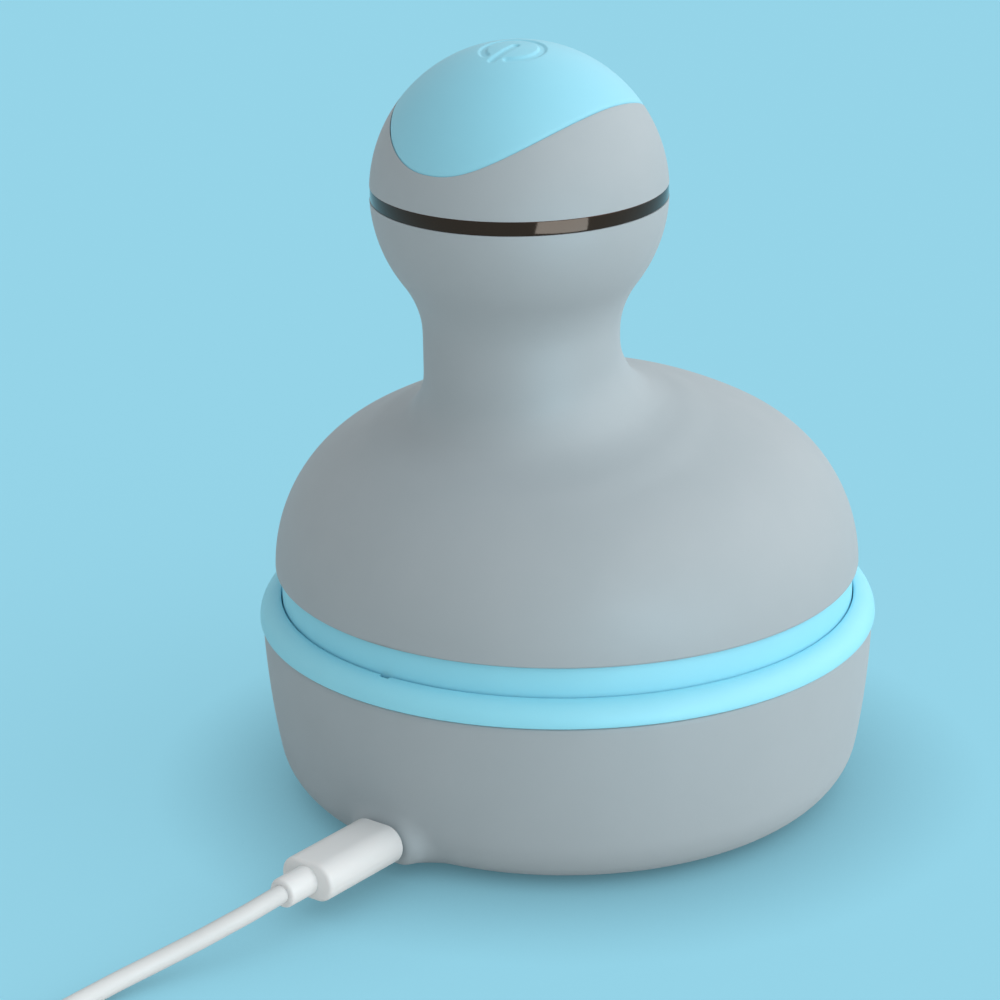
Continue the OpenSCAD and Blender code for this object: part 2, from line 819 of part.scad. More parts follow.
module motor_can() {
    color(steel) translate([motor_at[0], motor_at[1], 0]) difference() {
        union() {
            rod(motor_r, deck_top, motor_top);
            rod(motor_nose_r, deck_top - motor_nose_h, deck_top + tiny);
        }
        rod(motor_axle_r + slip, deck_top - motor_nose_h - 1, deck_top + 8);
        for (x = [-1, 1]) translate([x * motor_screw_at, 0, 0]) rod(pilot_r, deck_top - 1, deck_top + 4);
    }
}

module motor_screws() {
    color(steel) translate([motor_at[0], motor_at[1], 0]) for (x = [-1, 1])
        translate([x * motor_screw_at, 0, 0]) screw(deck_z + screw_head_h + fit, deck_top + 3);
}

module motor_shaft() {
    color(steel) translate([motor_at[0], motor_at[1], 0]) rod(motor_axle_r, wheel_z - 0.4, deck_top + 7.5);
}

module motor_pinion() {
    color(cream) translate([motor_at[0], motor_at[1], 0]) difference() {
        spur(motor_teeth, motor_module, motor_angle + 180 + 180 / motor_teeth, wheel_z, wheel_top);
        rod(motor_axle_r, 0, far);
    }
}

module reduction_gear() {
    color(cream) translate([reduction_at[0], reduction_at[1], 0]) difference() {
        union() {
            spur(final_teeth, head_module, 45, gear_z - run_gap, gear_top + tiny);
            rod(head_module * final_teeth / 2 - dedendum * head_module, gear_top, wheel_z + tiny);
            spur(reduction_teeth, motor_module, motor_angle, wheel_z, wheel_top);
        }
        rod(pin_r + slip, 0, far);
    }
}

module countershaft() {
    color(steel) translate([reduction_at[0], reduction_at[1], 0]) rod(pin_r, hub_top, deck_top - fit);
}

module gearbox_cover() {
    color(white) difference() {
        union() {
            rod(deck_r, deck_z, deck_top);
            for (x = [-1, 1], y = [7, 25]) translate([x * 14, y, 0]) rod(2, deck_top - tiny, deck_top + 1.4);
        }
        at_heads() rod(shaft_r + slip, 0, far);
        translate([reduction_at[0], reduction_at[1], 0]) rod(pin_r, 0, far);
        translate([motor_at[0], motor_at[1], 0]) {
            rod(motor_nose_r + fit, 0, far);
            for (x = [-1, 1]) translate([x * motor_screw_at, 0, 0]) {
                rod(screw_way_r, 0, far);
                rod(screw_head_r + fit, 0, deck_z + screw_head_h + fit);
            }
        }
        at_four(pillar_at) rod(screw_way_r, 0, far);
    }
}

module gearbox_screws() {
    color(steel) at_four(pillar_at) translate([0, 0, deck_top]) mirror([0, 0, 1]) screw(0, 8);
}

module chassis_screws() {
    color(steel) at_four(boss_at) screw(plate_z + screw_head_h + fit, plate_top + 9.5);
}

module shaft_bushes() {
    color("#b08a45") at_heads() ring(bush_r, shaft_r + slip, plate_z + seal_t + fit, gear_z - 1);
}

module shaft_seals() {
    color(black) at_heads() ring(seal_r, shaft_r + slip, plate_z, plate_z + seal_t);
}

module receiver_coil() {
    color(copper) ring(recess_in + recess_wall + 2.4, recess_in + recess_wall + coil_gap, plate_top + fit, hub_top - fit);
}

module control_board() {
    color(green) block([-17, 4, deck_top + 1.5], [17, 28, deck_top + 1.5 + board_t]);
}

module control_chips() {
    top = deck_top + 1.5 + board_t;
    color(black) {
        block([-12, 8, top], [-5, 15, top + 1.2]);
        block([3, 9, top], [9, 15, top + 2.2]);
        block([-9, 20, top], [-4, 24, top + 1]);
        block([4, 19, top], [8, 25, top + 1.4]);
    }
}

// ---------- massage heads ----------

module massage_head(i) {
    root = disc_z + tiny;
    tip = disc_z - finger_l + tip_r;
    color(blue) translate(head_place(i)) difference() {
        union() {
            rod(massage_r, disc_z, disc_top - 0.8);
            translate([0, 0, disc_top - 0.8]) cylinder(r1 = massage_r, r2 = massage_r - 0.8, h = 0.8);
            rod(hub_r, disc_top - tiny, plate_z - run_gap);
            for (row = finger_rings, k = [0:row[0] - 1]) rotate(360 * k / row[0]) translate([row[1], 0, 0]) {
                translate([0, 0, tip]) cylinder(r1 = tip_r, r2 = finger_r, h = root - tip);
                translate([0, 0, tip]) sphere(tip_r);
            }
        }
        rod(shaft_r, disc_z + 1, far);
    }
}

module head_shaft(i) {
    color(steel) translate(head_place(i)) rod(shaft_r, disc_z + 1, deck_top - fit);
}

module head_gear(i) {
    color(cream) translate(head_place(i)) difference() {
        union() {
            spur(head_teeth, head_module, i % 2 == 0 ? 0 : 180 / head_teeth, gear_z, gear_top);
            rod(shaft_r + 2, gear_z - 0.7, gear_top + 0.5);
        }
        rod(shaft_r, 0, far);
    }
}

// ---------- charging cable ----------

module plug_body() {
    color(white) difference() {
        union() {
            bar(plug_w, plug_t, plug_t / 2 - tiny, plug_face, plug_end, plug_z);
            translate([0, plug_end + tiny, plug_z]) rotate([90, 0, 0]) cylinder(r = collar_r, h = collar_l + tiny);
        }
        bar(tip_w + 2 * tiny, tip_h + 2 * tiny, 0.5, plug_face + 1, plug_face - 3, plug_z);
        translate([0, collar_end + 2, plug_z]) rotate([90, 0, 0]) cylinder(r = cord_r, h = 3);
    }
}

module plug_tip() {
    color(steel) difference() {
        bar(tip_w, tip_h, 0.5, plug_face + tip_l, plug_face - 3, plug_z);
        bar(tip_w - 2 * tip_wall, tip_h - 2 * tip_wall, 0.3, plug_face + tip_l + 1, plug_face + 0.4, plug_z);
    }
}

lead_start = [0, collar_end + 2, plug_z];
lead_points = concat([lead_start, [0, collar_end, plug_z]], lead_route, [[coil_at[0] - coil_out, coil_at[1] + cord_d, coil_low]]);

// radius, and height, of the coil after t turns: in, up one layer where it turns back, and out
function coil_r(t) = coil_out - coil_pitch * (coil_middle - abs(t - coil_middle));
function coil_z(t) =
    let (climbed = (t - coil_middle) / coil_climb + 0.5)
    coil_low + coil_layer * (1 - cos(180 * min(1, max(0, climbed)))) / 2;
coil_count = round(coil_turns * coil_steps);
function coil_point(t) = [coil_at[0] + coil_r(t) * cos(180 + 360 * t), coil_at[1] + coil_r(t) * sin(180 + 360 * t), coil_z(t)];
coil_end = coil_point(coil_turns);
coil_points = concat([[coil_at[0] - coil_out, coil_at[1] + cord_d, coil_low]],
    [for (i = [0:coil_count]) coil_point(i / coil_steps)],
    [coil_end + [cord_d, 0, 0]]);
coil_near = 14;   // points this close along the cable aren't neighbours in the pile
coil_least = min([for (i = [0:coil_count + 2 - coil_near], j = [i + coil_near:coil_count + 2])
    norm(coil_points[i] - coil_points[j])]) - cord_d;
echo(least_gap_of_the_coil_to_itself = coil_least);  // cable_coil

module cable_lead() {
    color(white) tube(lead_points, cord_r, lead_sides, 22.5);
}

module cable_coil() {
    color(white) tube(coil_points, cord_r, coil_sides);
}

tail_start = coil_end + [cord_d, 0, 0];
tail_points = concat([tail_start], tail_route, [far_plug_at]);
module cable_tail() {
    color(white) tube(tail_points, cord_r, lead_sides, 22.5);
}

// band round all turns at the far side of the coil
module cable_tie() {
    in_r = min(coil_r(coil_middle - 0.625), coil_r(coil_middle + 0.375)) - cord_r - 0.6;
    out_r = coil_r(0.5) + cord_r + 0.4;
    top = coil_low + coil_layer + cord_r + 0.3;
    color(black) translate([coil_at[0], coil_at[1], 0]) difference() {
        block([in_r - tie_t, -2.5, 0], [out_r + tie_t, 2.5, top + tie_t]);
        block([in_r, -3.5, tie_t], [out_r, 3.5, top]);
    }
}

// the plug for the charger, lying beside the coil
module along_x(from, to, w, t, r) {
    translate([from, far_plug_at[1], far_plug_at[2]]) rotate([90, 0, 90]) linear_extrude(to - from) round_rect(w, t, r);
}

module far_plug() {
    x = far_plug_at[0];
    color(white) difference() {
        union() {
            along_x(x + far_collar_l, x + far_collar_l + far_l, far_w, far_t, 1.8);
            translate([x - 0.5, far_plug_at[1], far_plug_at[2]]) rotate([0, 90, 0])
                cylinder(r = collar_r, h = far_collar_l + 0.6);
        }
        translate([x - 1, far_plug_at[1], far_plug_at[2]]) rotate([0, 90, 0]) cylinder(r = cord_r, h = 1);
        along_x(x + far_collar_l + far_l - 4, x + far_collar_l + far_l + 1, far_shell_w, far_shell_t, 0.4);
    }
}

module far_shell() {
    x = far_plug_at[0] + far_collar_l + far_l;
    color(steel) difference() {
        along_x(x - 4, x + far_shell_l, far_shell_w, far_shell_t, 0.4);
        difference() {
            along_x(x + 1, x + far_shell_l + 1, far_shell_w - 2 * sheet, far_shell_t - 2 * sheet, 0.3);
            along_x(x, x + far_shell_l - 0.5, far_shell_w - 1, 1.9, 0.2);
        }
    }
}

base_shell();
base_cup();
bottom_cover();
base_feet();
base_screws();
base_board();
base_chips();
usb_socket();
transmitter_coil();
transmitter_core();
upper_housing();
chassis();
trim_ring();
top_cap();
gearbox_cover();
gearbox_screws();
chassis_screws();
housing_seal();
shaft_bushes();
shaft_seals();
receiver_coil();
countershaft();
motor_can();
motor_screws();
battery_cell();
battery_cradle();
control_board();
control_chips();
head_board();
switch_body();
button_spring();
power_button();
switch_plunger();
motor_shaft();
motor_pinion();
reduction_gear();
massage_head(0);  // massage_head_1
massage_head(1);  // massage_head_2
massage_head(2);  // massage_head_3
massage_head(3);  // massage_head_4
head_shaft(0);  // head_shaft_1
head_shaft(1);  // head_shaft_2
head_shaft(2);  // head_shaft_3
head_shaft(3);  // head_shaft_4
head_gear(0);  // head_gear_1
head_gear(1);  // head_gear_2
head_gear(2);  // head_gear_3
head_gear(3);  // head_gear_4
plug_body();
plug_tip();
cable_lead();
cable_coil();
cable_tie();
cable_tail();
far_plug();
far_shell();
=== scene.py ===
# %% [markdown]
# # An electric scalp massager on its charging base
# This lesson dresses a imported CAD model. The frame holds every solid at its real place and size,
# in metres, with +Z up and the front, where the cable plugs in, towards -Y. Shapes that are seen
# are made again here as smooth meshes, and every solid that stays gets a finish of its own.

# %% Load the frame
from math import asin, atan2, cos, degrees, hypot, pi, radians, sin, sqrt
import bmesh
import bpy
import numpy as np
from mathutils import Matrix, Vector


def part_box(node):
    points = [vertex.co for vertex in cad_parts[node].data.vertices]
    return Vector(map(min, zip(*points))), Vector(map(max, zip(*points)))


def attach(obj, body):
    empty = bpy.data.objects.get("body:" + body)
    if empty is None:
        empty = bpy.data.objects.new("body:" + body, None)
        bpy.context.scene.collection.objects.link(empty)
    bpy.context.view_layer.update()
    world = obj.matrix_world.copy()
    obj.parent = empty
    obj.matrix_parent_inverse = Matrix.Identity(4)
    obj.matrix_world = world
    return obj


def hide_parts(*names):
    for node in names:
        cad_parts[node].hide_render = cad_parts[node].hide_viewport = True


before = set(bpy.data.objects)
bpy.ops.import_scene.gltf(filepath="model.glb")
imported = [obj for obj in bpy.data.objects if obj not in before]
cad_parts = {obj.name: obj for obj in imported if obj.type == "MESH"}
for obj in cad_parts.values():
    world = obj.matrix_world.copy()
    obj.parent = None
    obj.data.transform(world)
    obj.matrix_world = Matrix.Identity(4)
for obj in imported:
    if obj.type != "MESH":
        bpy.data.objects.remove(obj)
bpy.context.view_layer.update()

MM = 0.001

# %% [markdown]
# ## The camera
# The photograph looks down at the massager from its front right with a long lens. The camera is
# described the way a photographer would: how far it is turned, pitched and rolled. Its three axes
# then follow from those angles, and the whole set is turned with the object.

# %% Place the camera
CAMERA_AT = (0.3510, -0.4658, 0.2684)
LENS_MM, SENSOR_MM = 126.0, 36.0
PITCH, YAW, ROLL, OBJECT_TURN = (radians(a) for a in (20.3, -1.15, -1.0, 37.0))


def put(name, data):
    """A new object in the scene from a mesh, a curve, a light or a camera."""
    made = bpy.data.objects.new(name, data)
    bpy.context.collection.objects.link(made)
    return made


def matrix_from(x, y, z, place):
    """Blender's matrix for an object's own three axes and its place."""
    matrix = np.eye(4)
    matrix[:3] = np.column_stack([x, y, z, place])
    return Matrix(matrix.tolist())


ahead = np.array([sin(YAW) * cos(PITCH), cos(YAW) * cos(PITCH), -sin(PITCH)])
right = np.array([cos(YAW), -sin(YAW), 0])
up = np.cross(right, ahead)
rolled_right = cos(ROLL) * right + sin(ROLL) * up
rolled_up = -sin(ROLL) * right + cos(ROLL) * up
turn = np.array([[cos(OBJECT_TURN), -sin(OBJECT_TURN), 0],
                 [sin(OBJECT_TURN), cos(OBJECT_TURN), 0],
                 [0.0, 0.0, 1.0]])

camera_data = bpy.data.cameras.new("studio_camera")
camera_data.lens, camera_data.sensor_width = LENS_MM, SENSOR_MM
camera_data.clip_start, camera_data.clip_end = 0.01, 60.0
camera = put("studio_camera", camera_data)
camera.matrix_world = matrix_from(turn @ rolled_right, turn @ rolled_up, turn @ -ahead, CAMERA_AT)
bpy.context.scene.camera = camera
scene = bpy.context.scene
scene.view_settings.view_transform = "Standard"
print("camera distance to the axis:", round(hypot(*CAMERA_AT[:2]), 3), "m")

# %% [markdown]
# ## Colours and nodes
# A product designer picks colours as hex codes on a screen, but light adds up in linear values, so
# one function turns a code into linear numbers. Another adds any shader or geometry node, with its
# settings and its links, so that each finish below reads as a short recipe.

# %% Helpers for colours and nodes
def linear(code):
    """A hex colour as linear red, green, blue and an alpha of 1."""
    parts = [int(code[i:i + 2], 16) / 255 for i in (1, 3, 5)]
    return [p / 12.92 if p <= 0.04045 else ((p + 0.055) / 1.055) ** 2.4 for p in parts] + [1.0]


def add(tree, kind, inputs=None, **settings):
    """One node of that kind. inputs maps a socket's name or number to a value, a socket or a node,
    which stands for its first output."""
    made = tree.nodes.new(kind)
    for name, value in settings.items():
        setattr(made, name, value)
    for key, value in (inputs or {}).items():
        if isinstance(value, bpy.types.Node):
            value = value.outputs[0]
        if isinstance(value, bpy.types.NodeSocket):
            tree.links.new(value, made.inputs[key])
        else:
            made.inputs[key].default_value = value
    return made


def blank_tree(owner):
    """The emptied node tree of a material or a world."""
    owner.use_nodes = True
    owner.node_tree.nodes.clear()
    return owner.node_tree


print("photo background in linear light:", [round(v, 3) for v in linear("#95D4E8")[:3]])

# %% [markdown]
# ## Moulded finishes
# Most of this object is injection-moulded plastic, bare or with a coating. Such a surface has a
# base colour that drifts very slightly from flow and handling, a gloss that drifts with it, and a
# fine spark-eroded or sprayed grain. One recipe gives all three at sizes in real millimetres.

# %% The recipe for a moulded finish
def moulded(name, colour, drift_colour, roughness, drift_rough, grain_mm, grain_depth_mm,
            drift_mm=14.0, sheen=0.0, coat=0.0, scatter=0.0, metallic=0.0, ior=1.5, tint="#FFFFFF"):
    """A plastic, rubber or metal with two close colours, a drifting gloss and a fine grain."""
    material = bpy.data.materials.new(name)
    tree = blank_tree(material)
    place = add(tree, "ShaderNodeTexCoord").outputs["Object"]
    drift = add(tree, "ShaderNodeTexNoise", {
        "Vector": place, "Scale": 1 / (drift_mm * MM), "Detail": 3.0, "Roughness": 0.55})
    grain = add(tree, "ShaderNodeTexNoise", {
        "Vector": place, "Scale": 1 / (grain_mm * MM), "Detail": 2.0, "Roughness": 0.6})
    # a Mix node has sockets of the same name for each type, so the colour ones go by number
    mixed = add(tree, "ShaderNodeMix", {"Factor": drift, 6: linear(colour), 7: linear(drift_colour)},
                data_type="RGBA")
    gloss = add(tree, "ShaderNodeMapRange", {
        "Value": drift, "From Min": 0.3, "From Max": 0.7,
        "To Min": roughness - drift_rough, "To Max": roughness + drift_rough})
    relief = add(tree, "ShaderNodeBump", {
        "Height": grain, "Strength": 1.0, "Distance": grain_depth_mm * MM})
    shader = add(tree, "ShaderNodeBsdfPrincipled", {
        "Base Color": mixed.outputs[2], "Roughness": gloss,
        "Normal": relief, "Metallic": metallic, "IOR": ior, "Specular Tint": linear(tint),
        "Sheen Weight": sheen, "Sheen Roughness": 0.5, "Coat Weight": coat, "Coat Roughness": 0.08,
        "Subsurface Weight": scatter, "Subsurface Scale": 0.001, "Subsurface Radius": (0.6, 0.9, 1.0)})
    add(tree, "ShaderNodeOutputMaterial", {"Surface": shader})
    material.diffuse_color = linear(colour)
    return material


# %% [markdown]
# ### The finishes of this object
# The grey parts have a soft-touch polyurethane coat, nearly matt with a faint nap. The blue parts
# are satin ABS. The ring is gloss-painted, the cable is matt PVC, and the heads are silicone.
# Grain finer than about 0.3 mm would not show at this distance, so it is drawn at 0.35 mm or more.

# %% Make the finishes
FINISH = {
    # sprayed polyurethane on ABS: wide soft highlights
    "soft_touch_grey": moulded("soft_touch_coated_abs", "#9FABB1", "#99A6AC", 0.6, 0.03, 0.45, 0.006,
                               sheen=0.08),
    # ABS coloured through: fine spark grain, a livelier highlight
    "blue_plastic": moulded("satin_blue_abs", "#8EDAEE", "#88D5EA", 0.5, 0.03, 0.4, 0.004, scatter=0.08),
    # the button is the same plastic under a matt clear coat
    "blue_button": moulded("matt_coated_blue_abs", "#8ACFE3", "#86CBE0", 0.56, 0.03, 0.4, 0.004, sheen=0.05),
    # light goes a little way into silicone
    "blue_silicone": moulded("matt_blue_silicone", "#8AD6EE", "#82CFE8", 0.6, 0.04, 0.4, 0.008,
                             sheen=0.1, scatter=0.2),
    # smoked brown lacquer, smooth enough to mirror a lamp with a warm tint
    "dark_trim": moulded("gloss_dark_lacquer", "#221A14", "#1F1812", 0.08, 0.02, 0.6, 0.0004,
                         ior=1.6, tint="#FFB49A"),
    "white_plastic": moulded("matt_white_pvc", "#DCE0E1", "#D8DCDD", 0.5, 0.04, 0.5, 0.006, scatter=0.1),
    # the cable's jacket is the plugs' soft PVC, a little greyer
    "cable_white": moulded("extruded_white_pvc", "#CFD4D5", "#CBD0D1", 0.55, 0.04, 0.5, 0.004),
    "black_rubber": moulded("matt_black_rubber", "#26272A", "#2E2F32", 0.75, 0.05, 0.5, 0.01, sheen=0.15),
    "black_plastic": moulded("black_nylon", "#2A2B2E", "#323337", 0.55, 0.05, 0.5, 0.008),
    # clear reflections, broken by drawing marks
    "bright_steel": moulded("nickel_plated_steel", "#C3C6C9", "#B4B7BA", 0.28, 0.06, 0.5, 0.002, 6.0,
                            metallic=1.0),
    "copper_wire": moulded("enamelled_copper_wire", "#B8733D", "#A8642F", 0.35, 0.05, 0.4, 0.02, 5.0,
                           metallic=1.0),
    "bronze": moulded("sintered_bronze", "#B08A45", "#9C7738", 0.45, 0.08, 0.35, 0.01, 4.0, metallic=1.0),
    "ferrite": moulded("sintered_ferrite", "#3A3A3C", "#323234", 0.6, 0.05, 0.4, 0.01),
    "circuit_board": moulded("green_solder_mask", "#2F6B4A", "#2A6143", 0.35, 0.05, 0.8, 0.004, 6, coat=0.3),
    "gear_plastic": moulded("natural_acetal", "#DCD8CC", "#D4CFC1", 0.4, 0.04, 0.5, 0.004, scatter=0.15),
    "cell_wrap": moulded("heat_shrink_sleeve", "#3A6EA5", "#35669B", 0.3, 0.05, 0.8, 0.006, coat=0.2),
}
print("finishes:", len(FINISH))

# %% [markdown]
# ## The charging cable
# A thin bundled cable leaves the moulded plug's collar straight, sinks to the table under its own
# weight and runs out of the picture. The rest is wound into a small coil with a tie, as it comes in
# the box, and the other end carries the plug for a charger. It is one line of fixed length, so it
# is a curve with a round bevel, through the same points as the solid that it stands for.

# %% The cable's route
CORD_D = 3.2
COIL_AT = np.array([14.6, -156.0])
COIL_OUT, COIL_PITCH, COIL_LAYER, COIL_LOW = 22.0, CORD_D + 0.5, CORD_D + 0.55, CORD_D / 2 + 0.6
COIL_TURNS, COIL_CLIMB = 6.25, 0.5
LEAD = [(0, -77.4, 7), (0, -79.4, 7), (0, -83.5, 6.9), (-0.4, -87.5, 6.5), (-1.4, -91.5, 5.8),
        (-2.8, -96, 4.8), (-4.4, -101, 3.8), (-5.8, -106, 3), (-6.8, -111, 2.5), (-7.3, -116, 2.25),
        (-7.5, -122, 2.2), (-7.45, -129, 2.2), (-7.4, -136, 2.2), (-7.4, -143, 2.2), (-7.4, -152.8, 2.2)]
TAIL = [(22, -178, 5.6), (28, -178, 5.1), (34, -178, 4.6), (39, -178, 4.4), (44, -178, 4.4)]


def coil_point(turns):
    """A point of the wound cable: in towards the middle, one layer up, and out again."""
    middle = COIL_TURNS / 2
    radius = COIL_OUT - COIL_PITCH * (middle - abs(turns - middle))
    climbed = min(1.0, max(0, (turns - middle) / COIL_CLIMB + 0.5))
    angle = pi + 2 * pi * turns
    return (COIL_AT[0] + radius * cos(angle), COIL_AT[1] + radius * sin(angle),
            COIL_LOW + COIL_LAYER * (1 - cos(pi * climbed)) / 2)


def smooth_through(points, parts):
    """A Catmull-Rom line through the points, with that many parts between two of them."""
    p = np.array(points, float)
    p = np.vstack([2 * p[0] - p[1], p, 2 * p[-1] - p[-2]])
    line = []
    for a, b, c, d in zip(p, p[1:], p[2:], p[3:]):
        for t in np.arange(parts) / parts:
            line.append(0.5 * (2 * b + (c - a) * t + (2 * a - 5 * b + 4 * c - d) * t ** 2
                               + (3 * b - a - 3 * c + d) * t ** 3))
    return line + [p[-2]]


coil_line = [coil_point(t) for t in np.linspace(0, COIL_TURNS, 301)]
tail_start = np.array(coil_line[-1]) + (CORD_D, 0, 0)
route = np.array(smooth_through(LEAD, 4) + coil_line + smooth_through([tail_start] + TAIL, 3)) * MM

# %% Draw the cable
cable_curve = bpy.data.curves.new("charging_lead", "CURVE")
cable_curve.dimensions = "3D"
cable_curve.bevel_depth = CORD_D / 2 * MM
cable_curve.bevel_resolution = 5
cable_curve.use_fill_caps = True
cable_line = cable_curve.splines.new("POLY")
cable_line.points.add(len(route) - 1)
cable_line.points.foreach_set("co", np.c_[route, np.ones(len(route))].ravel())
charging_lead = put("charging_lead", cable_curve)
charging_lead.data.materials.append(FINISH["cable_white"])
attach(charging_lead, "charging_cable")
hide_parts("cable_lead", "cable_coil", "cable_tail")

# %% [markdown]
# ## Turning and meshing
# Almost every visible part is a turned shape, so the profile of each is drawn once with straight
# runs and arcs and spun round an upright axis. A piece is kept at the origin with its place in its
# mesh. Edges get real roundings, because a sharp edge catches no light and looks cut from paper.

# %% Helpers for meshes
def unit(v):
    """Vectors of length 1 in the same directions."""
    v = np.asarray(v, float)
    return v / np.linalg.norm(v, axis=-1, keepdims=True)


def arc(x, z, radius, start, end, count):
    """Points of an arc in a profile, angles in degrees from +x towards +z."""
    return [(x + radius * cos(a), z + radius * sin(a)) for a in np.radians(np.linspace(start, end, count))]


def clean_mesh(name, shape, merge=1e-7):
    """A mesh from a shape, which is points in mm and faces; doubles merged and faces turned outwards."""
    points_mm, faces = shape
    mesh = bpy.data.meshes.new(name)
    mesh.from_pydata((points_mm * MM).tolist(), [], faces)
    work = bmesh.new()
    work.from_mesh(mesh)
    bmesh.ops.remove_doubles(work, verts=work.verts, dist=merge)
    bmesh.ops.recalc_face_normals(work, faces=work.faces)
    if work.calc_volume(signed=True) < 0:
        bmesh.ops.reverse_faces(work, faces=work.faces)
    work.to_mesh(mesh)
    work.free()
    return mesh


def shade(made, smooth_angle):
    """Smooth shading, with edges sharper than the angle kept crisp."""
    made.data.shade_smooth()
    made.data.set_sharp_from_angle(angle=radians(smooth_angle))


def coat(made, finish):
    """One finish on the whole of an object."""
    made.data.materials.clear()
    made.data.materials.append(FINISH[finish])


def dress(made, finish, body, *nodes):
    """Finish, body and the CAD nodes that a piece stands for."""
    coat(made, finish)
    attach(made, body)
    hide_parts(*nodes)
    print(made.name, "rides on", body, "with", len(made.data.polygons), "faces")


def piece(name, shape, finish, body, *nodes, smooth_angle=35.0):
    """A closed shape as a piece, riding on a body and standing for CAD nodes."""
    made = put(name, clean_mesh(name, shape, merge=1e-6))
    shade(made, smooth_angle)
    dress(made, finish, body, *nodes)
    return made


def net(rings, closed=False, ends=False):
    """A shape over rings of points. closed joins the last to the first, ends fills both of them."""
    rings = np.asarray(rings, float)
    count, columns = rings.shape[:2]
    faces = []
    for i in range(count if closed else count - 1):
        here, there = i * columns, (i + 1) % count * columns
        for j in range(columns):
            k = (j + 1) % columns
            faces.append((here + j, here + k, there + k, there + j))
    if ends:
        faces += [tuple(range(columns)), tuple(range((count - 1) * columns, count * columns))]
    return rings.reshape(-1, 3), faces


def spun(profile, columns=128, centre=(0, 0), closed=False, angles=None):
    """The shape of a profile of (radius, height) spun round an upright axis."""
    if angles is None:
        angles = np.linspace(0, 2 * pi, columns, endpoint=False)
    p = np.asarray(profile, float)
    x = p[:, :1] * np.cos(angles) + centre[0]
    y = p[:, :1] * np.sin(angles) + centre[1]
    z = np.repeat(p[:, 1:], len(angles), axis=1)
    return net(np.stack([x, y, z], -1), closed)


def softened(profile, radius, closed=False):
    """The profile with each corner replaced by a small round."""
    p = [np.array(q, float) for q in profile]
    out, n = [], len(p)
    for i, q in enumerate(p):
        if not closed and i in (0, n - 1):
            out.append(q)
            continue
        before, after = p[i - 1] - q, p[(i + 1) % n] - q
        reach = min(radius, 0.45 * hypot(*before), 0.45 * hypot(*after))
        a, b = q + unit(before) * reach, q + unit(after) * reach
        out += [(1 - t) ** 2 * a + 2 * t * (1 - t) * q + t ** 2 * b for t in np.linspace(0, 1, 4)]
    return out


# %% [markdown]
# ## The massager's housing
# The grey housing is one moulding: a wide dome, a narrow neck set towards the front and the lower
# half of a round head. No single profile gives that, because neck and dome have different axes. So
# each form is written as a distance: how far a point is from the dome, the flare and the neck. The
# three are blended into one field, and lines shot out from inside find where the field is zero.

# %% Sizes of the dome, the neck and the head
SPLIT_Z, RIM_TOP, SEAT_Z = 32.4, 36.5, 34.5
DOME_R, SHOULDER_R, CROWN_R, DOME_Z = 51.9, 27.6, 77.3, 41.9
SHOULDER_X = DOME_R - SHOULDER_R
CROWN_Z = DOME_Z - sqrt((CROWN_R - SHOULDER_R) ** 2 - SHOULDER_X ** 2)
NECK_OFFSET, NECK_R, HOLLOW_R, FLARE_R, FLARE_SINK = 12.2, 16.8, 17.8, 15.0, 0.5
FLARE_BLEND, DOME_BLEND, FOOT_EASE = 0.5, 2.0, 0.08
HEAD_R, HEAD_Z = 25.4, 112.1
TRIM_Z, TRIM_TOP = 111.2, 113.6
HOLLOW_X = NECK_R + HOLLOW_R
WAIST_Z = HEAD_Z - sqrt((HEAD_R + HOLLOW_R) ** 2 - HOLLOW_X ** 2)
FLARE_X = NECK_R + FLARE_R
WALL, EDGE_ROUND = 2.2, 0.45
print("crown centre", round(CROWN_Z, 2), "waist", round(WAIST_Z, 2))


# %% The field of the housing
def blended(a, b, width):
    """The union of two distances, filleted over about that width."""
    h = np.clip(0.5 + 0.5 * (b - a) / width, 0, 1)
    return b * (1 - h) + a * h - width * h * (1 - h)


def dome_distance(x, y, z):
    rho = np.hypot(x, y)
    dx, dz = rho - SHOULDER_X, z - DOME_Z
    crown = (SHOULDER_X * dz - (DOME_Z - CROWN_Z) * dx) > 0
    shoulder = np.where(dz > 0, np.hypot(dx, dz), dx) - SHOULDER_R
    return np.where(crown, np.hypot(rho, z - CROWN_Z) - CROWN_R, shoulder)


def neck_distance(x, y, z):
    r = np.hypot(x, y + NECK_OFFSET)
    head = HOLLOW_X * (z - HEAD_Z) - (WAIST_Z - HEAD_Z) * r > 0
    hollow = HOLLOW_R - np.hypot(r - HOLLOW_X, z - WAIST_Z)
    return np.where(head, np.hypot(r, z - HEAD_Z) - HEAD_R, np.where(z > WAIST_Z, hollow, r - NECK_R))


def flare_distance(x, y, z):
    """A ball rolled round the neck and over the crown, measured in planes through the neck's axis."""
    y = y + NECK_OFFSET
    r = np.hypot(x, y)
    front = NECK_OFFSET * y / np.maximum(r, 1e-9)
    centre_out = FLARE_X ** 2 + NECK_OFFSET ** 2 - 2 * FLARE_X * front
    centre_z = CROWN_Z + np.sqrt((CROWN_R + FLARE_R - FLARE_SINK) ** 2 - centre_out)
    curved = FLARE_R - np.hypot(r - FLARE_X, z - centre_z)
    out_x, out_z = FLARE_X - front, centre_z - CROWN_Z
    past_foot = (out_z * (r - FLARE_X) - out_x * (z - centre_z)) / np.hypot(out_x, out_z)
    return np.where(z > centre_z, r - NECK_R, curved + FOOT_EASE * np.maximum(past_foot, 0) ** 2)


def housing_distance(p):
    x, y, z = np.moveaxis(p, -1, 0)
    neck = blended(neck_distance(x, y, z), flare_distance(x, y, z), FLARE_BLEND)
    return blended(neck, dome_distance(x, y, z), DOME_BLEND)


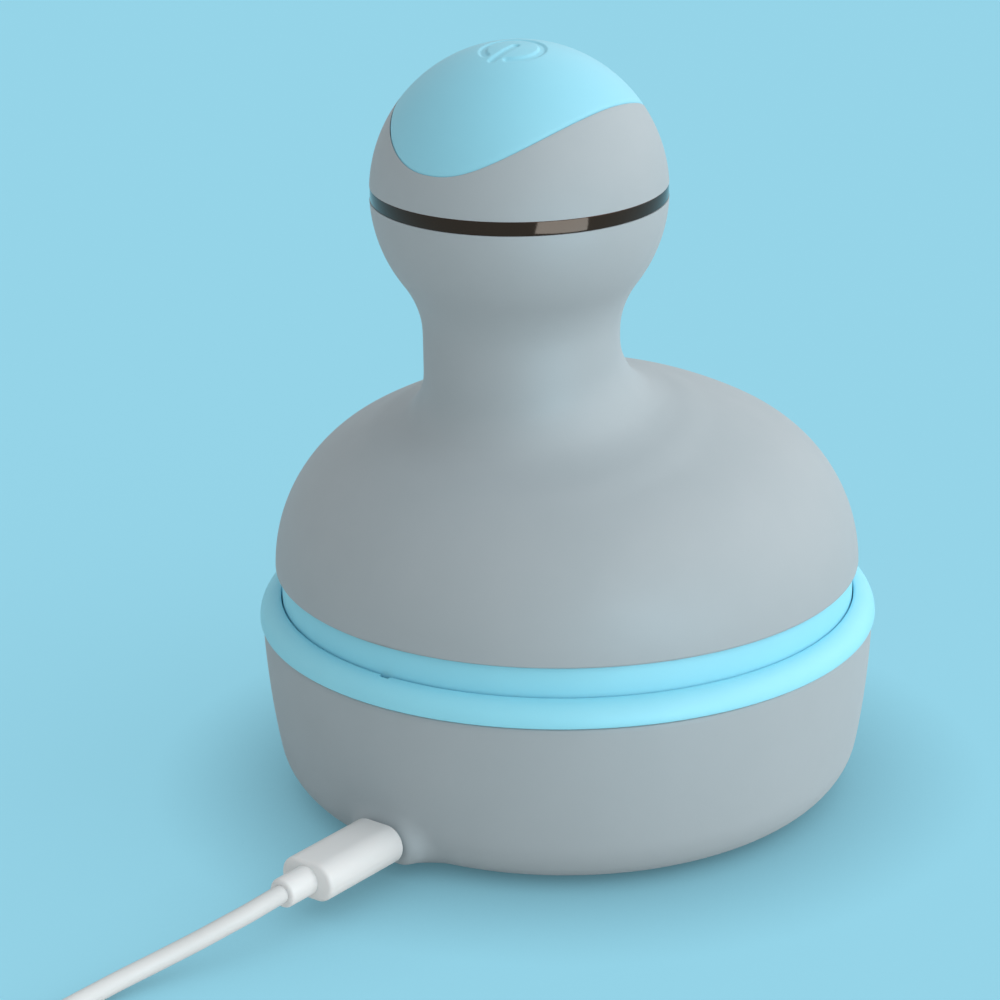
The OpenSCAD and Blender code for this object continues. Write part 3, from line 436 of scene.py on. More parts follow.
def surface_along(field, start, direction, reach, steps=44):
    """The points where the field is zero on lines that start inside."""
    low, high = np.zeros(start.shape[:-1]), np.full(start.shape[:-1], float(reach))
    for _ in range(steps):
        middle = (low + high) / 2
        inside = field(start + middle[..., None] * direction) < 0
        low, high = np.where(inside, middle, low), np.where(inside, high, middle)
    return start + low[..., None] * direction


def outward(field, p, step=0.02):
    """The field's unit gradient, which is the surface's normal."""
    return unit(np.stack([field(p + step * e) - field(p - step * e) for e in np.eye(3)], -1))


# %% Mesh the housing
# Every line lies in an upright plane through the neck's axis. From the head down the neck the lines
# are level, over the flare they all aim at the middle of its hollow, and over the dome they fan out.
HOUSING_COLUMNS, REACH = 192, 70.0
FLARE_MIDDLE, AIM = 74.0, 25.0
lines = [(0, z, 0) for z in np.linspace(TRIM_Z - 0.05, FLARE_MIDDLE, 36)[:-1]]
lines += [(FLARE_X - AIM * cos(radians(e)), FLARE_MIDDLE - AIM * sin(radians(e)), e)
          for e in np.linspace(0, 90, 42)]
lines += [(FLARE_X, DOME_Z, a) for a in 90 * (1 - np.linspace(0, 1, 64)[1:-1] ** 1.15)]
lines += [(FLARE_X, DOME_Z + EDGE_ROUND, 0)]
around = np.linspace(0, 2 * pi, HOUSING_COLUMNS, endpoint=False)
level_way = np.stack([np.sin(around), np.cos(around), np.zeros(HOUSING_COLUMNS)], -1)
starts = np.array([r * level_way + (0, -NECK_OFFSET, z) for r, z, _ in lines])
slopes = [radians(elevation) for _, _, elevation in lines]
directions = np.array([cos(e) * level_way + (0, 0, sin(e)) for e in slopes])
skin = surface_along(housing_distance, starts, directions, REACH)
inner = skin - WALL * outward(housing_distance, skin)

# the lower edge turns in with a small round, about the dome's own axis
edge_xy, edge_z = skin[-1, :, :2], skin[-1, :, 2]
inwards = -unit(edge_xy)
edge_rows = [np.c_[edge_xy + inwards * EDGE_ROUND * (1 - cos(a)), edge_z - EDGE_ROUND * sin(a)]
             for a in np.radians([30, 60, 90])]
underside = np.c_[edge_xy + inwards * WALL, edge_z - EDGE_ROUND]
piece("massager_housing", net([*skin, *edge_rows, underside, *inner[::-1]], closed=True),
      "soft_touch_grey", "massager", "upper_housing")
print("housing's top:", round(float(skin[..., 2].max()), 2), "mm")

# %% [markdown]
# ## The head: trim ring, cap and button
# A dark lacquered ring parts the round head. Above it the cap is a sphere with an oval opening
# that is seen as a wave, because an upright oval meets a ball. The blue button fills the opening,
# lies flush with the cap and has rounded edges, with a fine dark gap all round.

# %% Trim ring
RING_OUT, RING_SEAT, RING_IN, RING_LIP, RING_ROUND = HEAD_R - 0.08, HEAD_R - 2.4, HEAD_R - 3.4, 1.6, 0.12
ring_profile = softened([
    (RING_IN, TRIM_Z - RING_LIP), (RING_SEAT, TRIM_Z - RING_LIP), (RING_SEAT, TRIM_Z), (RING_OUT, TRIM_Z),
    (RING_OUT, TRIM_TOP), (RING_SEAT, TRIM_TOP), (RING_SEAT, TRIM_TOP + RING_LIP),
    (RING_IN, TRIM_TOP + RING_LIP)], RING_ROUND, closed=True)
piece("trim_band", spun(ring_profile, 160, (0, -NECK_OFFSET), closed=True), "dark_trim", "massager",
      "trim_ring")

# %% The oval on the ball
BUTTON_A, BUTTON_B, BUTTON_GAP, BUTTON_WALL, FULLNESS = 24.1, 18.9, 0.12, 1.8, 2.1
OVAL_COLUMNS, HEAD_AT = 288, np.array([0, -NECK_OFFSET, HEAD_Z])


def on_ball(xy, radius):
    """Points of a ball above the given x and y."""
    height = np.sqrt(np.maximum(radius ** 2 - (xy ** 2).sum(-1), 0))
    return np.concatenate([xy, height[..., None]], -1)


# seen from above, the opening's outline is a slightly full ellipse about the head's axis
oval_angles = np.linspace(0, 2 * pi, OVAL_COLUMNS, endpoint=False)
rim_xy = np.stack([half * np.sign(side) * np.abs(side) ** (2 / FULLNESS) for half, side in (
    (BUTTON_B, np.cos(oval_angles)), (BUTTON_A, np.sin(oval_angles)))], -1)
edge_normal = unit(rim_xy)
steep = on_ball(rim_xy, HEAD_R)[:, 2:] / HEAD_R
print("the opening dips to", round(float(steep.min()) * HEAD_R, 1), "mm above the ball's middle")


def moved_out(xy, by):
    """An outline moved away from the opening's middle, by a width measured along the ball."""
    return xy + edge_normal * by * steep


def along_ball(a, b, t):
    """The point part of the way from a to b over the ball."""
    angle = np.arccos(np.clip((a * b).sum(-1, keepdims=True) / HEAD_R ** 2, -1, 1))
    return (np.sin((1 - t) * angle) * a + np.sin(t * angle) * b) / np.maximum(np.sin(angle), 1e-9)


# %% Cap round the button
EDGE_END = 0.24
level = TRIM_TOP - HEAD_Z
ring_r = sqrt(HEAD_R ** 2 - level ** 2)
cap_low = np.c_[ring_r * edge_normal, np.full(OVAL_COLUMNS, level)]
inner_low = np.c_[(ring_r - WALL) * edge_normal, np.full(OVAL_COLUMNS, level)]
# the opening's rounded edge, row by row: how deep under the ball and how far out
cap_rows = [on_ball(moved_out(rim_xy, out), HEAD_R - depth) for depth, out in (
    (WALL, 0), (1.2, 0), (0.5, 0), (0.25, 0.02), (0.1, 0.07), (0.02, 0.15))]
inner_top = cap_rows[0]
edge_end = on_ball(moved_out(rim_xy, EDGE_END), HEAD_R)
cap_rows += [along_ball(edge_end, cap_low, t) for t in np.linspace(0, 1, 26)] + [inner_low]
cap_rows += [unit(inner_low * (1 - t) + inner_top * t) * (HEAD_R - WALL) for t in np.linspace(0, 1, 12)[1:-1]]
piece("head_cap", net(cap_rows + HEAD_AT, closed=True), "soft_touch_grey", "massager", "top_cap")

# %% [markdown]
# ### The engraved on/off symbol
# The symbol is pressed 0.3 mm into the button, a little in front of its top. It is real relief
# here: the button's mesh is finer in its middle, and each point sinks by how deep it lies inside
# the symbol's outline, with a soft wall of 0.6 mm so that the light rolls into it.

# %% Blue button
SYMBOL_R, SYMBOL_W, SYMBOL_DEPTH, SYMBOL_GAP, SOFT_WALL = 5.6, 1.2, 0.32, 27.0, 0.6
SYMBOL_X, SYMBOL_Y, BAR_END = 0.9, -2.4, 0.8


def symbol_distance(x, y):
    """Distance to the outline of an open ring with a bar through its gap, both towards the front."""
    x, y = x - SYMBOL_X, y - SYMBOL_Y
    r, middle, half = np.hypot(x, y), SYMBOL_R - SYMBOL_W / 2, SYMBOL_W / 2
    angle = np.degrees(np.arctan2(x, -y))
    end = radians(SYMBOL_GAP)
    tip = np.hypot(np.abs(x) - middle * sin(end), y + middle * cos(end))
    ring = np.where(np.abs(angle) > SYMBOL_GAP, np.abs(r - middle), tip) - half
    bar = np.hypot(x, y - np.clip(y, -SYMBOL_R, BAR_END)) - half
    return np.minimum(ring, bar)


button_edge = moved_out(rim_xy, -BUTTON_GAP)
button_rows = []
for scale in np.concatenate([np.linspace(0.004, 0.5, 96), np.linspace(0.5, 0.97, 26)[1:], [0.98]]):
    xy = button_edge * scale
    inside_by = np.clip(0.5 - symbol_distance(xy[:, 0], xy[:, 1]) / SOFT_WALL, 0, 1)
    sunk = SYMBOL_DEPTH * inside_by ** 2 * (3 - 2 * inside_by)
    ball = on_ball(xy, HEAD_R)
    button_rows.append(ball - ball / HEAD_R * sunk[:, None])
for depth, back in ((0.02, 0.16), (0.08, 0.08), (0.2, 0.02), (0.5, 0), (BUTTON_WALL, 0)):
    button_rows.append(on_ball(moved_out(button_edge, -back), HEAD_R - depth))
for scale in np.linspace(0.96, 0.004, 16):
    button_rows.append(on_ball(button_edge * scale, HEAD_R - BUTTON_WALL))
power_button = piece("power_button_cap", net(button_rows + HEAD_AT, ends=True), "blue_plastic",
                     "power_button", "power_button", smooth_angle=50)
coat(power_button, "blue_button")

# %% [markdown]
# ## The charging base
# The grey bowl is turned, but the socket's boss grows out of it in a soft fillet. The same method
# as for the housing gives it: the bowl and a rounded bar are two distances, and near the front the
# bowl's points are pushed out along lines from inside until they meet the blend of both.

# %% Sizes of the base
BOWL_Z, BOWL_ROUND, BOWL_WALL, SIDE_R, CREST_Z = 0.25, 11.0, 2.4, 150.0, 36.0
SPLIT_R = 54.5
SIDE_X = SPLIT_R - sqrt(SIDE_R ** 2 - (CREST_Z - SPLIT_Z) ** 2)
ROUND_Z = BOWL_Z + BOWL_ROUND
ROUND_X = SIDE_X + sqrt((SIDE_R - BOWL_ROUND) ** 2 - (CREST_Z - ROUND_Z) ** 2)
BOSS_MIDDLE, BOSS_H, BOSS_W, BOSS_Y = 5.9, 7.0, 13.2, -53.2
BOSS_ROUND, BOSS_SOFT, BOSS_FILLET = 3.6, 1.6, 4.0


def bowl_distance(x, y, z):
    rho = np.hypot(x, y)
    side = (ROUND_X - SIDE_X) * (z - ROUND_Z) - (ROUND_Z - CREST_Z) * (rho - ROUND_X) > 0
    under = np.where(rho > ROUND_X, np.hypot(rho - ROUND_X, z - ROUND_Z) - BOWL_ROUND, BOWL_Z - z)
    return np.where(side, np.hypot(rho - SIDE_X, z - CREST_Z) - SIDE_R, under)


def corner(a, b):
    """The distance to a square corner, from the distances to its two sides."""
    return np.hypot(np.maximum(a, 0), np.maximum(b, 0)) + np.minimum(np.maximum(a, b), 0)


def boss_distance(x, y, z):
    across = corner(np.abs(x) - (BOSS_W / 2 - BOSS_ROUND),
                    np.abs(z - BOSS_MIDDLE) - (BOSS_H / 2 - BOSS_ROUND)) - BOSS_ROUND
    return corner(across + BOSS_SOFT, BOSS_Y - y + BOSS_SOFT) - BOSS_SOFT


def bowl_with_boss(p):
    x, y, z = np.moveaxis(p, -1, 0)
    return blended(bowl_distance(x, y, z), boss_distance(x, y, z), BOSS_FILLET)


# %% Mesh the bowl
COVER_R, COVER_TOP, FLOOR_TOP, PORT_Z = 38.2, 2.8, 4.0, 7.0
PATCH_X, PATCH_Y, PATCH_TOP, PATCH_FROM, PATCH_REACH = 13.5, -36, 18, -38.0, 30.0
side_low = degrees(atan2(ROUND_Z - CREST_Z, ROUND_X - SIDE_X))
side_high = degrees(asin((SPLIT_Z - 0.5 - CREST_Z) / SIDE_R))
outer = [(COVER_R + 0.2, BOWL_Z), *arc(ROUND_X, ROUND_Z, BOWL_ROUND, -90, side_low, 44),
         *arc(SIDE_X, CREST_Z, SIDE_R, side_low, side_high, 26)[1:]]
top_x = outer[-1][0]
# the top edge, down the wall's inner side, over the floor and round the step that takes the cover
inside = [(top_x - 0.07, SPLIT_Z - 0.35), (top_x - 0.2, SPLIT_Z - 0.27), (top_x - 0.7, SPLIT_Z - 0.25),
          (top_x - 0.75, SPLIT_Z), (52.0, SPLIT_Z), (51.7, SPLIT_Z - 0.3)]
inside += [(x - BOWL_WALL, z) for x, z in arc(SIDE_X, CREST_Z, SIDE_R, side_high - 1.4, side_low, 8)]
inside += [(46.0, 7.6), (41.0, FLOOR_TOP + 0.2), (34.2, FLOOR_TOP), (34.0, FLOOR_TOP - 0.2),
           (34.0, COVER_TOP), (COVER_R, COVER_TOP), (COVER_R, 1.0)]
# columns stand 0.4 degrees apart round the boss and 3 degrees apart elsewhere
bowl_angles = np.radians(np.concatenate([np.arange(-16, 16.01, 0.4), np.arange(19, 341.1, 3.0)])) - pi / 2
bowl_points, bowl_faces = spun(outer + inside, closed=True, angles=bowl_angles)
# the patch is a view, so that moving its points moves the bowl's
patch = bowl_points.reshape(-1, len(bowl_angles), 3)[:len(outer)]
close = (np.abs(patch[..., 0]) < PATCH_X) & (patch[..., 1] < PATCH_Y) & (patch[..., 2] < PATCH_TOP)
from_inside = np.array([0.0, PATCH_FROM, PORT_Z])
way = unit(patch[close] - from_inside)
patch[close] = surface_along(bowl_with_boss, np.broadcast_to(from_inside, way.shape), way, PATCH_REACH)
bowl = piece("base_bowl", (bowl_points, bowl_faces), "soft_touch_grey", "base", "base_shell", smooth_angle=40)
print("boss reaches y =", round(float(patch[..., 1].min()), 2), "mm")


# %% [markdown]
# ### Cutting the socket's window
# The window for the plug is cut last with a Boolean modifier, and the modifier's result becomes
# the plain mesh. A cut into a flat face keeps that face's shading, so nothing else has to change.

# %% A stadium-shaped bar and the cut
def stadium(width, height, radius, corner_steps=8):
    """A flat outline with round corners, as x and z."""
    x, z = width / 2 - radius, height / 2 - radius
    corners = ((x, z, 0), (-x, z, 90), (-x, -z, 180), (x, -z, 270))
    return np.array([p for x, z, start in corners
                     for p in arc(x, z, radius, start, start + 90, corner_steps + 1)])


def lofted(height, sections):
    """A shape from outlines along Y, each (y, outline), at a height and closed at both ends."""
    return net([[(x, y, z + height) for x, z in outline] for y, outline in sections], ends=True)


def plain_mesh(made):
    """Puts a modifier's result into the object's own mesh and takes the modifiers off."""
    graph = bpy.context.evaluated_depsgraph_get()
    old, made.data = made.data, bpy.data.meshes.new_from_object(made.evaluated_get(graph))
    made.modifiers.clear()
    name = old.name
    bpy.data.meshes.remove(old)
    made.data.name = name


def cut(made, shape):
    """Takes a closed shape out of a piece."""
    mesh = clean_mesh("cutter", shape)
    cutter = put("cutter", mesh)
    boolean = made.modifiers.new("cut", "BOOLEAN")
    boolean.operation, boolean.object, boolean.solver = "DIFFERENCE", cutter, "EXACT"
    plain_mesh(made)
    bpy.data.objects.remove(cutter)
    bpy.data.meshes.remove(mesh)


WINDOW_W, WINDOW_H, WINDOW_ROUND, WINDOW_FROM, WINDOW_TO = 7.9, 2.9, 0.8, -56.0, -40.0
window = stadium(WINDOW_W, WINDOW_H, WINDOW_ROUND)
cut(bowl, lofted(PORT_Z, [(y, window) for y in (WINDOW_FROM, WINDOW_TO)]))
shade(bowl, 40)
print("bowl after the cut:", len(bowl.data.polygons), "faces")

# %% [markdown]
# ### The rim and the cup
# The blue rim, the cup that holds the heads and the charging post are one moulding. Its section is
# drawn from the post's top down, over the cup's floor, up its wall, over the rim and back under. A
# small key notch is cut out of the rim at the front with a box.

# %% Cup
POST_R, POST_TOP, CUP_FLOOR, CUP_R, RECESS_R, RIM_ROUND = 6.0, 41.2, 10.4, 47.0, 51.1, 3.9
POST_IN, POST_ROOF, CUP_OUT, BEND_R, BEND_Z, SKIRT_Z = 4.6, 39.8, 48.8, 5.8, 14.4, SPLIT_Z - 4
cup_profile = [
    (0, POST_TOP), (POST_R - 1, POST_TOP), *arc(POST_R - 1, POST_TOP - 1, 1, 75, 0, 5),
    (POST_R, CUP_FLOOR + 1), *arc(POST_R + 1, CUP_FLOOR + 1, 1, 195, 270, 5),
    (20.0, CUP_FLOOR), (CUP_R - 4, CUP_FLOOR), *arc(CUP_R - 4, CUP_FLOOR + 4, 4, -80, 0, 9),
    (CUP_R, SEAT_Z - 0.5), *arc(CUP_R + 0.5, SEAT_Z - 0.5, 0.5, 150, 90, 3),
    (RECESS_R - 0.3, SEAT_Z), (RECESS_R - 0.05, SEAT_Z + 0.12), (RECESS_R, SEAT_Z + 0.4),
    (RECESS_R, RIM_TOP - 0.3), (RECESS_R + 0.09, RIM_TOP - 0.08),
    *arc(RECESS_R, SPLIT_Z + 0.2, RIM_ROUND, 85, 0, 22), (54.95, SPLIT_Z + 0.05), (54.7, SPLIT_Z),
    (51.6, SPLIT_Z), (51.5, SKIRT_Z + 0.1), (51.3, SKIRT_Z), (CUP_OUT, SKIRT_Z), (CUP_OUT, BEND_Z),
    *arc(CUP_OUT - BEND_R, BEND_Z, BEND_R, -10, -90, 8), (POST_IN, BEND_Z - BEND_R),
    (POST_IN, POST_ROOF), (0, POST_ROOF)]
cup = piece("rim_and_cup", spun(cup_profile, 180), "blue_plastic", "base", "base_cup", smooth_angle=40)
NOTCH, NOTCH_LOW, NOTCH_HIGH = [(-0.8, -51.95), (1.3, -51.95), (1.3, -50.7), (-0.8, -50.7)], 32.6, 40.0
cut(cup, net([[(x, y, z) for x, y in NOTCH] for z in (NOTCH_LOW, NOTCH_HIGH)], ends=True))
shade(cup, 40)
print("cup:", len(cup.data.polygons), "faces")


# %% [markdown]
# ## Solids that only need a smooth copy
# The bottom cover, the base's screws, the socket, the plug's tip, the shafts and the seals have the
# right shape as solids, but their meshes are loose triangles. A copy is merged and shaded smooth,
# and stands for its solid, so that round walls look round and edges stay crisp.

# %% Smooth copies of solids
COPY_MERGE, COPY_ANGLE = 2e-6, 28.0
COPIES = [("shaft_seals", "massager", "black_rubber"), ("bottom_cover", "base", "soft_touch_grey"),
          ("base_screws", "base", "bright_steel"), ("usb_socket", "base", "bright_steel"),
          ("plug_tip", "charging_cable", "bright_steel")]
COPIES += [(f"head_shaft_{number}", f"massage_head_{number}", "bright_steel") for number in range(1, 5)]
for node, body, finish in COPIES:
    work = bmesh.new()
    work.from_mesh(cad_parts[node].data)
    bmesh.ops.remove_doubles(work, verts=work.verts, dist=COPY_MERGE)
    mesh = bpy.data.meshes.new(node + "_smooth")
    work.to_mesh(mesh)
    work.free()
    made = put(node + "_smooth", mesh)
    shade(made, COPY_ANGLE)
    dress(made, finish, body, node)

# %% [markdown]
# ## The massage heads
# Each head is a silicone disc with rings of tapering fingers that knead the scalp. The finger in the
# middle is part of the disc's own section. The others are one finger, made once, that Geometry Nodes
# set on every place of the rings: change one number and all of them follow.

# %% A finger and a disc
DISC_TOP, DISC_Z, MASSAGE_R, FINGER_L, FINGER_R, TIP_R = 34.0, 31.0, 17.2, 16.0, 1.9, 1.3
PLATE_Z, HUB_R = 37.0, 5.5
FINGER_RINGS = [(7, 7.6), (13, 14.2)]
HEAD_PLACES = [(18.0, 18.0), (-18.0, 18.0), (-18.0, -18.0), (18.0, -18.0)]
finger_profile = [
    (0, 0.4), (FINGER_R + 0.5, 0.1), (FINGER_R + 0.12, -0.35), (FINGER_R - 0.02, -1.0),
    *((FINGER_R - (FINGER_R - TIP_R) * t, -1 - (FINGER_L - TIP_R - 1) * t) for t in (0.33, 0.66)),
    *arc(0, -FINGER_L + TIP_R, TIP_R, 0, -90, 6)[:-1], (0, -FINGER_L)]
disc_profile = [
    (0, PLATE_Z - 0.3), (HUB_R - 0.2, PLATE_Z - 0.3), (HUB_R, PLATE_Z - 0.5), (HUB_R, DISC_TOP + 0.6),
    (HUB_R + 0.2, DISC_TOP + 0.15), (HUB_R + 0.7, DISC_TOP), (MASSAGE_R - 1.0, DISC_TOP),
    (MASSAGE_R - 0.3, DISC_TOP - 0.25), (MASSAGE_R, DISC_TOP - 0.9), (MASSAGE_R, DISC_Z + 0.9),
    (MASSAGE_R - 0.3, DISC_Z + 0.25), (MASSAGE_R - 1.0, DISC_Z), (FINGER_R + 0.5, DISC_Z),
    *((x, DISC_Z + z) for x, z in finger_profile[2:])]


def bare(name, shape):
    """A mesh object on its own, to be repeated by Geometry Nodes."""
    made = put(name, clean_mesh(name, shape))
    shade(made, 40)
    return made


finger = bare("finger", spun(finger_profile, 14))
print("a finger:", len(finger.data.polygons), "faces")

# %% [markdown]
# ### The tree that repeats a part on a ring
# The tree takes a part, and a ring's radius and count. It makes a circle's points, turns and moves
# them to their place, sets the part on each and joins them to what came before. It ends in Realize
# Instances and Set Material, because instances have no mesh of their own to carry away.

# %% Geometry Nodes: a part on a ring
ON_RING = bpy.data.node_groups.new("part_on_ring", "GeometryNodeTree")
ON_RING.interface.new_socket("Geometry", in_out="OUTPUT", socket_type="NodeSocketGeometry")
for name, kind in (("Geometry", "Geometry"), ("Part", "Object"), ("Finish", "Material"), ("Centre", "Vector"),
                   ("Turn", "Float"), ("Count", "Int"), ("Radius", "Float")):
    ON_RING.interface.new_socket(name, in_out="INPUT", socket_type="NodeSocket" + kind)
given = add(ON_RING, "NodeGroupInput").outputs
part = add(ON_RING, "GeometryNodeObjectInfo", {"Object": given["Part"]})
upright = add(ON_RING, "ShaderNodeCombineXYZ", {"Z": given["Turn"]})
circle = add(ON_RING, "GeometryNodeMeshCircle", {"Vertices": given["Count"], "Radius": given["Radius"]})
moved = add(ON_RING, "GeometryNodeTransform", {
    "Geometry": circle, "Translation": given["Centre"], "Rotation": upright})
placed = add(ON_RING, "GeometryNodeInstanceOnPoints", {"Points": moved, "Instance": part.outputs["Geometry"]})
join = add(ON_RING, "GeometryNodeJoinGeometry", {0: given["Geometry"]})
ON_RING.links.new(placed.outputs["Instances"], join.inputs[0])
real = add(ON_RING, "GeometryNodeRealizeInstances", {"Geometry": join})
coated = add(ON_RING, "GeometryNodeSetMaterial", {"Geometry": real, "Material": given["Finish"]})
add(ON_RING, "NodeGroupOutput", {"Geometry": coated})
print("ring tree:", len(ON_RING.nodes), "nodes")


# %% Use it once for each ring
def repeat_on_rings(name, base_mesh, rings, finish, body, node):
    """A base mesh with parts on rings; a ring is a part, a centre in mm, a turn, a count and a radius."""
    made = put(name, base_mesh.copy())
    for part, centre, turned, count, radius in rings:
        values = {"Part": part, "Finish": FINISH[finish], "Centre": [c * MM for c in centre], "Turn": turned,
                  "Count": count, "Radius": radius * MM}
        modifier = made.modifiers.new("ring", "NODES")
        modifier.node_group = ON_RING
        for socket in ON_RING.interface.items_tree:
            if socket.name in values:
                modifier[socket.identifier] = values[socket.name]
    plain_mesh(made)
    dress(made, finish, body, node)


for number, place in enumerate(HEAD_PLACES, 1):
    disc = bare("disc", spun(disc_profile, 72, place))
    rings = [(finger, (*place, DISC_Z), 0.0, count, radius) for count, radius in FINGER_RINGS]
    repeat_on_rings(f"kneading_head_{number}", disc.data, rings, "blue_silicone",
                    f"massage_head_{number}", f"massage_head_{number}")
    bpy.data.objects.remove(disc)
print("fingers on a head:", 1 + sum(count for count, _ in FINGER_RINGS))

# %% [markdown]
# ### Feet and screws
# Four rubber feet stand on the table, and four screws hold the chassis to the dome. Each is the same
# part on a ring, so the same tree sets them.

# %% Feet and screws
FEET_AT, SCREW_AT, SCREW_SEAT = 30.5, 43.3, 38.3
screw_profile = [(0, -0.7), (0.45, -0.75), (0.6, -1.2), (2.0, -1.2), (2.3, -1.0), (2.4, -0.6), (2.4, 0),
                 (1.05, 0), (1.05, 5.0), (0.6, 5.6), (0, 5.6)]
foot_profile = softened([(0, 0.6), (0, 0), (4.5, 0), (4.5, 1.4), (0, 1.4)], 0.35)
screw, foot = bare("screw", spun(screw_profile, 20)), bare("foot", spun(foot_profile, 40))
empty = bpy.data.meshes.new("empty")
repeat_on_rings("rubber_feet", empty, [(foot, (0, 0, 0), 0.0, 4, FEET_AT)], "black_rubber", "base",
                "base_feet")
repeat_on_rings("chassis_fixings", empty, [(screw, (0, 0, SCREW_SEAT), 0.0, 4, SCREW_AT)], "bright_steel",
                "massager", "chassis_screws")

# %% [markdown]
# ## The chassis and its blue band
# The blue band under the dome is the outer wall of the chassis, one moulding with the floor plate,
# the charging recess and the bosses for the shafts. Its section is drawn like the cup's and spun,
# with soft corners. The holes for seals, shafts and screws are cut as stepped plugs, and the ring
# tree adds the bosses and the pillars.

# %% Turn the chassis and cut its holes
BAND_R, SKIRT_R, LIP_R, LIP_TOP, PLATE_TOP, BUSH_R, SEAL_R = 50.9, 48.9, 49.2, 45.0, 40.0, 4.0, 4.8
POCKET_R, POCKET_TOP, POCKET_WALL, CUT_LOW, CUT_HIGH = 6.5, 42.2, 1.4, 36.0, 41.0
BAND_TOP, POCKET_OUT, POCKET_ROOF = DOME_Z - 0.05, POCKET_R + POCKET_WALL, POCKET_TOP + POCKET_WALL
SEAL_TOP, SCREW_HEAD_R, SCREW_HOLE_R = PLATE_Z + 1.3, 2.5, 1.15
chassis_profile = softened([
    (0, POCKET_TOP), (POCKET_R, POCKET_TOP), (POCKET_R, PLATE_Z), (SKIRT_R, PLATE_Z), (SKIRT_R, SEAT_Z),
    (BAND_R, SEAT_Z), (BAND_R, BAND_TOP), (LIP_R, BAND_TOP), (LIP_R, LIP_TOP), (LIP_R - 2, LIP_TOP),
    (LIP_R - 2, PLATE_TOP), (POCKET_OUT, PLATE_TOP), (POCKET_OUT, POCKET_ROOF), (0, POCKET_ROOF)], 0.4)


def stepped_plug(wide_r, step_z, narrow_r, columns, x, y):
    """A plug for a hole that is wide up to a step and narrow above it."""
    return spun([(0, CUT_LOW), (wide_r, CUT_LOW), (wide_r, step_z), (narrow_r, step_z), (narrow_r, CUT_HIGH),
                 (0, CUT_HIGH)], columns, (x, y))


turned = bare("turned", spun(chassis_profile, 180))
for x, y in HEAD_PLACES:
    cut(turned, stepped_plug(SEAL_R, SEAL_TOP, BUSH_R, 40, x, y))
for a in np.arange(4) * pi / 2:
    cut(turned, stepped_plug(SCREW_HEAD_R, SCREW_SEAT, SCREW_HOLE_R, 24, SCREW_AT * cos(a), SCREW_AT * sin(a)))
shade(turned, 35)
print("turned chassis with its holes:", len(turned.data.polygons), "faces")

# %% Add its bosses and pillars
BOSS_FOOT, BOSS_OUT = 38.5, 6.2
PILLAR_R, PILLAR_BORE, PILLAR_AT, PILLAR_FOOT = 3.4, 1.1, 35.5, PLATE_TOP - 0.2
deck_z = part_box("gearbox_cover")[0][2] / MM


def tube(name, inside_r, outside_r, low, high, columns):
    """A short tube with soft corners, to be set by the ring tree."""
    section = [(inside_r, low), (outside_r, low), (outside_r, high), (inside_r, high)]
    return bare(name, spun(softened(section, 0.3, closed=True), columns, closed=True))


boss = tube("boss", BUSH_R, BOSS_OUT, BOSS_FOOT, LIP_TOP, 40)
pillar = tube("pillar", PILLAR_BORE, PILLAR_R, PILLAR_FOOT, deck_z, 28)
repeat_on_rings("massager_chassis", turned.data, [
    (boss, (0, 0, 0), pi / 4, 4, hypot(*HEAD_PLACES[0])), (pillar, (0, 0, 0), 0.0, 4, PILLAR_AT)],
    "blue_plastic", "massager", "chassis")
for used in (finger, screw, foot, turned, boss, pillar):
    bpy.data.objects.remove(used)

# %% [markdown]
# ## The plugs
# A white plug is an overmoulded block with rounded sides and a short round collar. It is lofted
# from outlines along its length: nearly constant, drawn in a little at its ends with small rounds.
# The far plug is made the same way, larger, and turned to lie along X.

# %% One way to make both plugs
PLUG_W, PLUG_T, PLUG_FACE, PLUG_END, COLLAR_R, COLLAR_END, PLUG_Z = 11.0, 6.9, -54.1, -73.1, 2.6, -79.4, 7.0


def joined(first, second):
    """Two shapes as one."""
    (points, faces), (more_points, more_faces) = first, second
    return np.vstack([points, more_points]), faces + [tuple(i + len(points) for i in f) for f in more_faces]


def moulded_plug(width, thick, side_r, face, end, collar_end, z):
    """The shape of a plug's block and its collar, lying along Y with its face towards +Y."""
    block = lofted(z, [(y, stadium(width - 2 * by, thick - 2 * by, side_r - by, 10)) for y, by in (
        (face, 0.35), (face - 0.1, 0.12), (face - 0.35, 0), (face - 9, 0),
        (end + 0.8, 0), (end + 0.45, 0.06), (end + 0.15, 0.3), (end, 0.7))])
    ring = stadium(2 * COLLAR_R, 2 * COLLAR_R, COLLAR_R - 0.001, 8)
    collar = lofted(z, [(y, ring * share) for y, share in (
        (end + 0.5, 1), (end - 0.1, 1), (collar_end + 0.5, 1), (collar_end + 0.15, 0.94),
        (collar_end, 0.8), (collar_end, 0.615), (collar_end + 0.8, 0.6))])
    return joined(block, collar)


def lying_along_x(shape, y):
    """The shape turned about Z so that +Y becomes +X, at the given Y."""
    points, faces = shape
    return np.column_stack([points[:, 1], y - points[:, 0], points[:, 2]]), faces


plug_shape = moulded_plug(PLUG_W, PLUG_T, PLUG_T / 2 - 0.01, PLUG_FACE, PLUG_END, COLLAR_END, PLUG_Z)
piece("plug_overmould", plug_shape, "white_plastic", "charging_cable", "plug_body", smooth_angle=50)

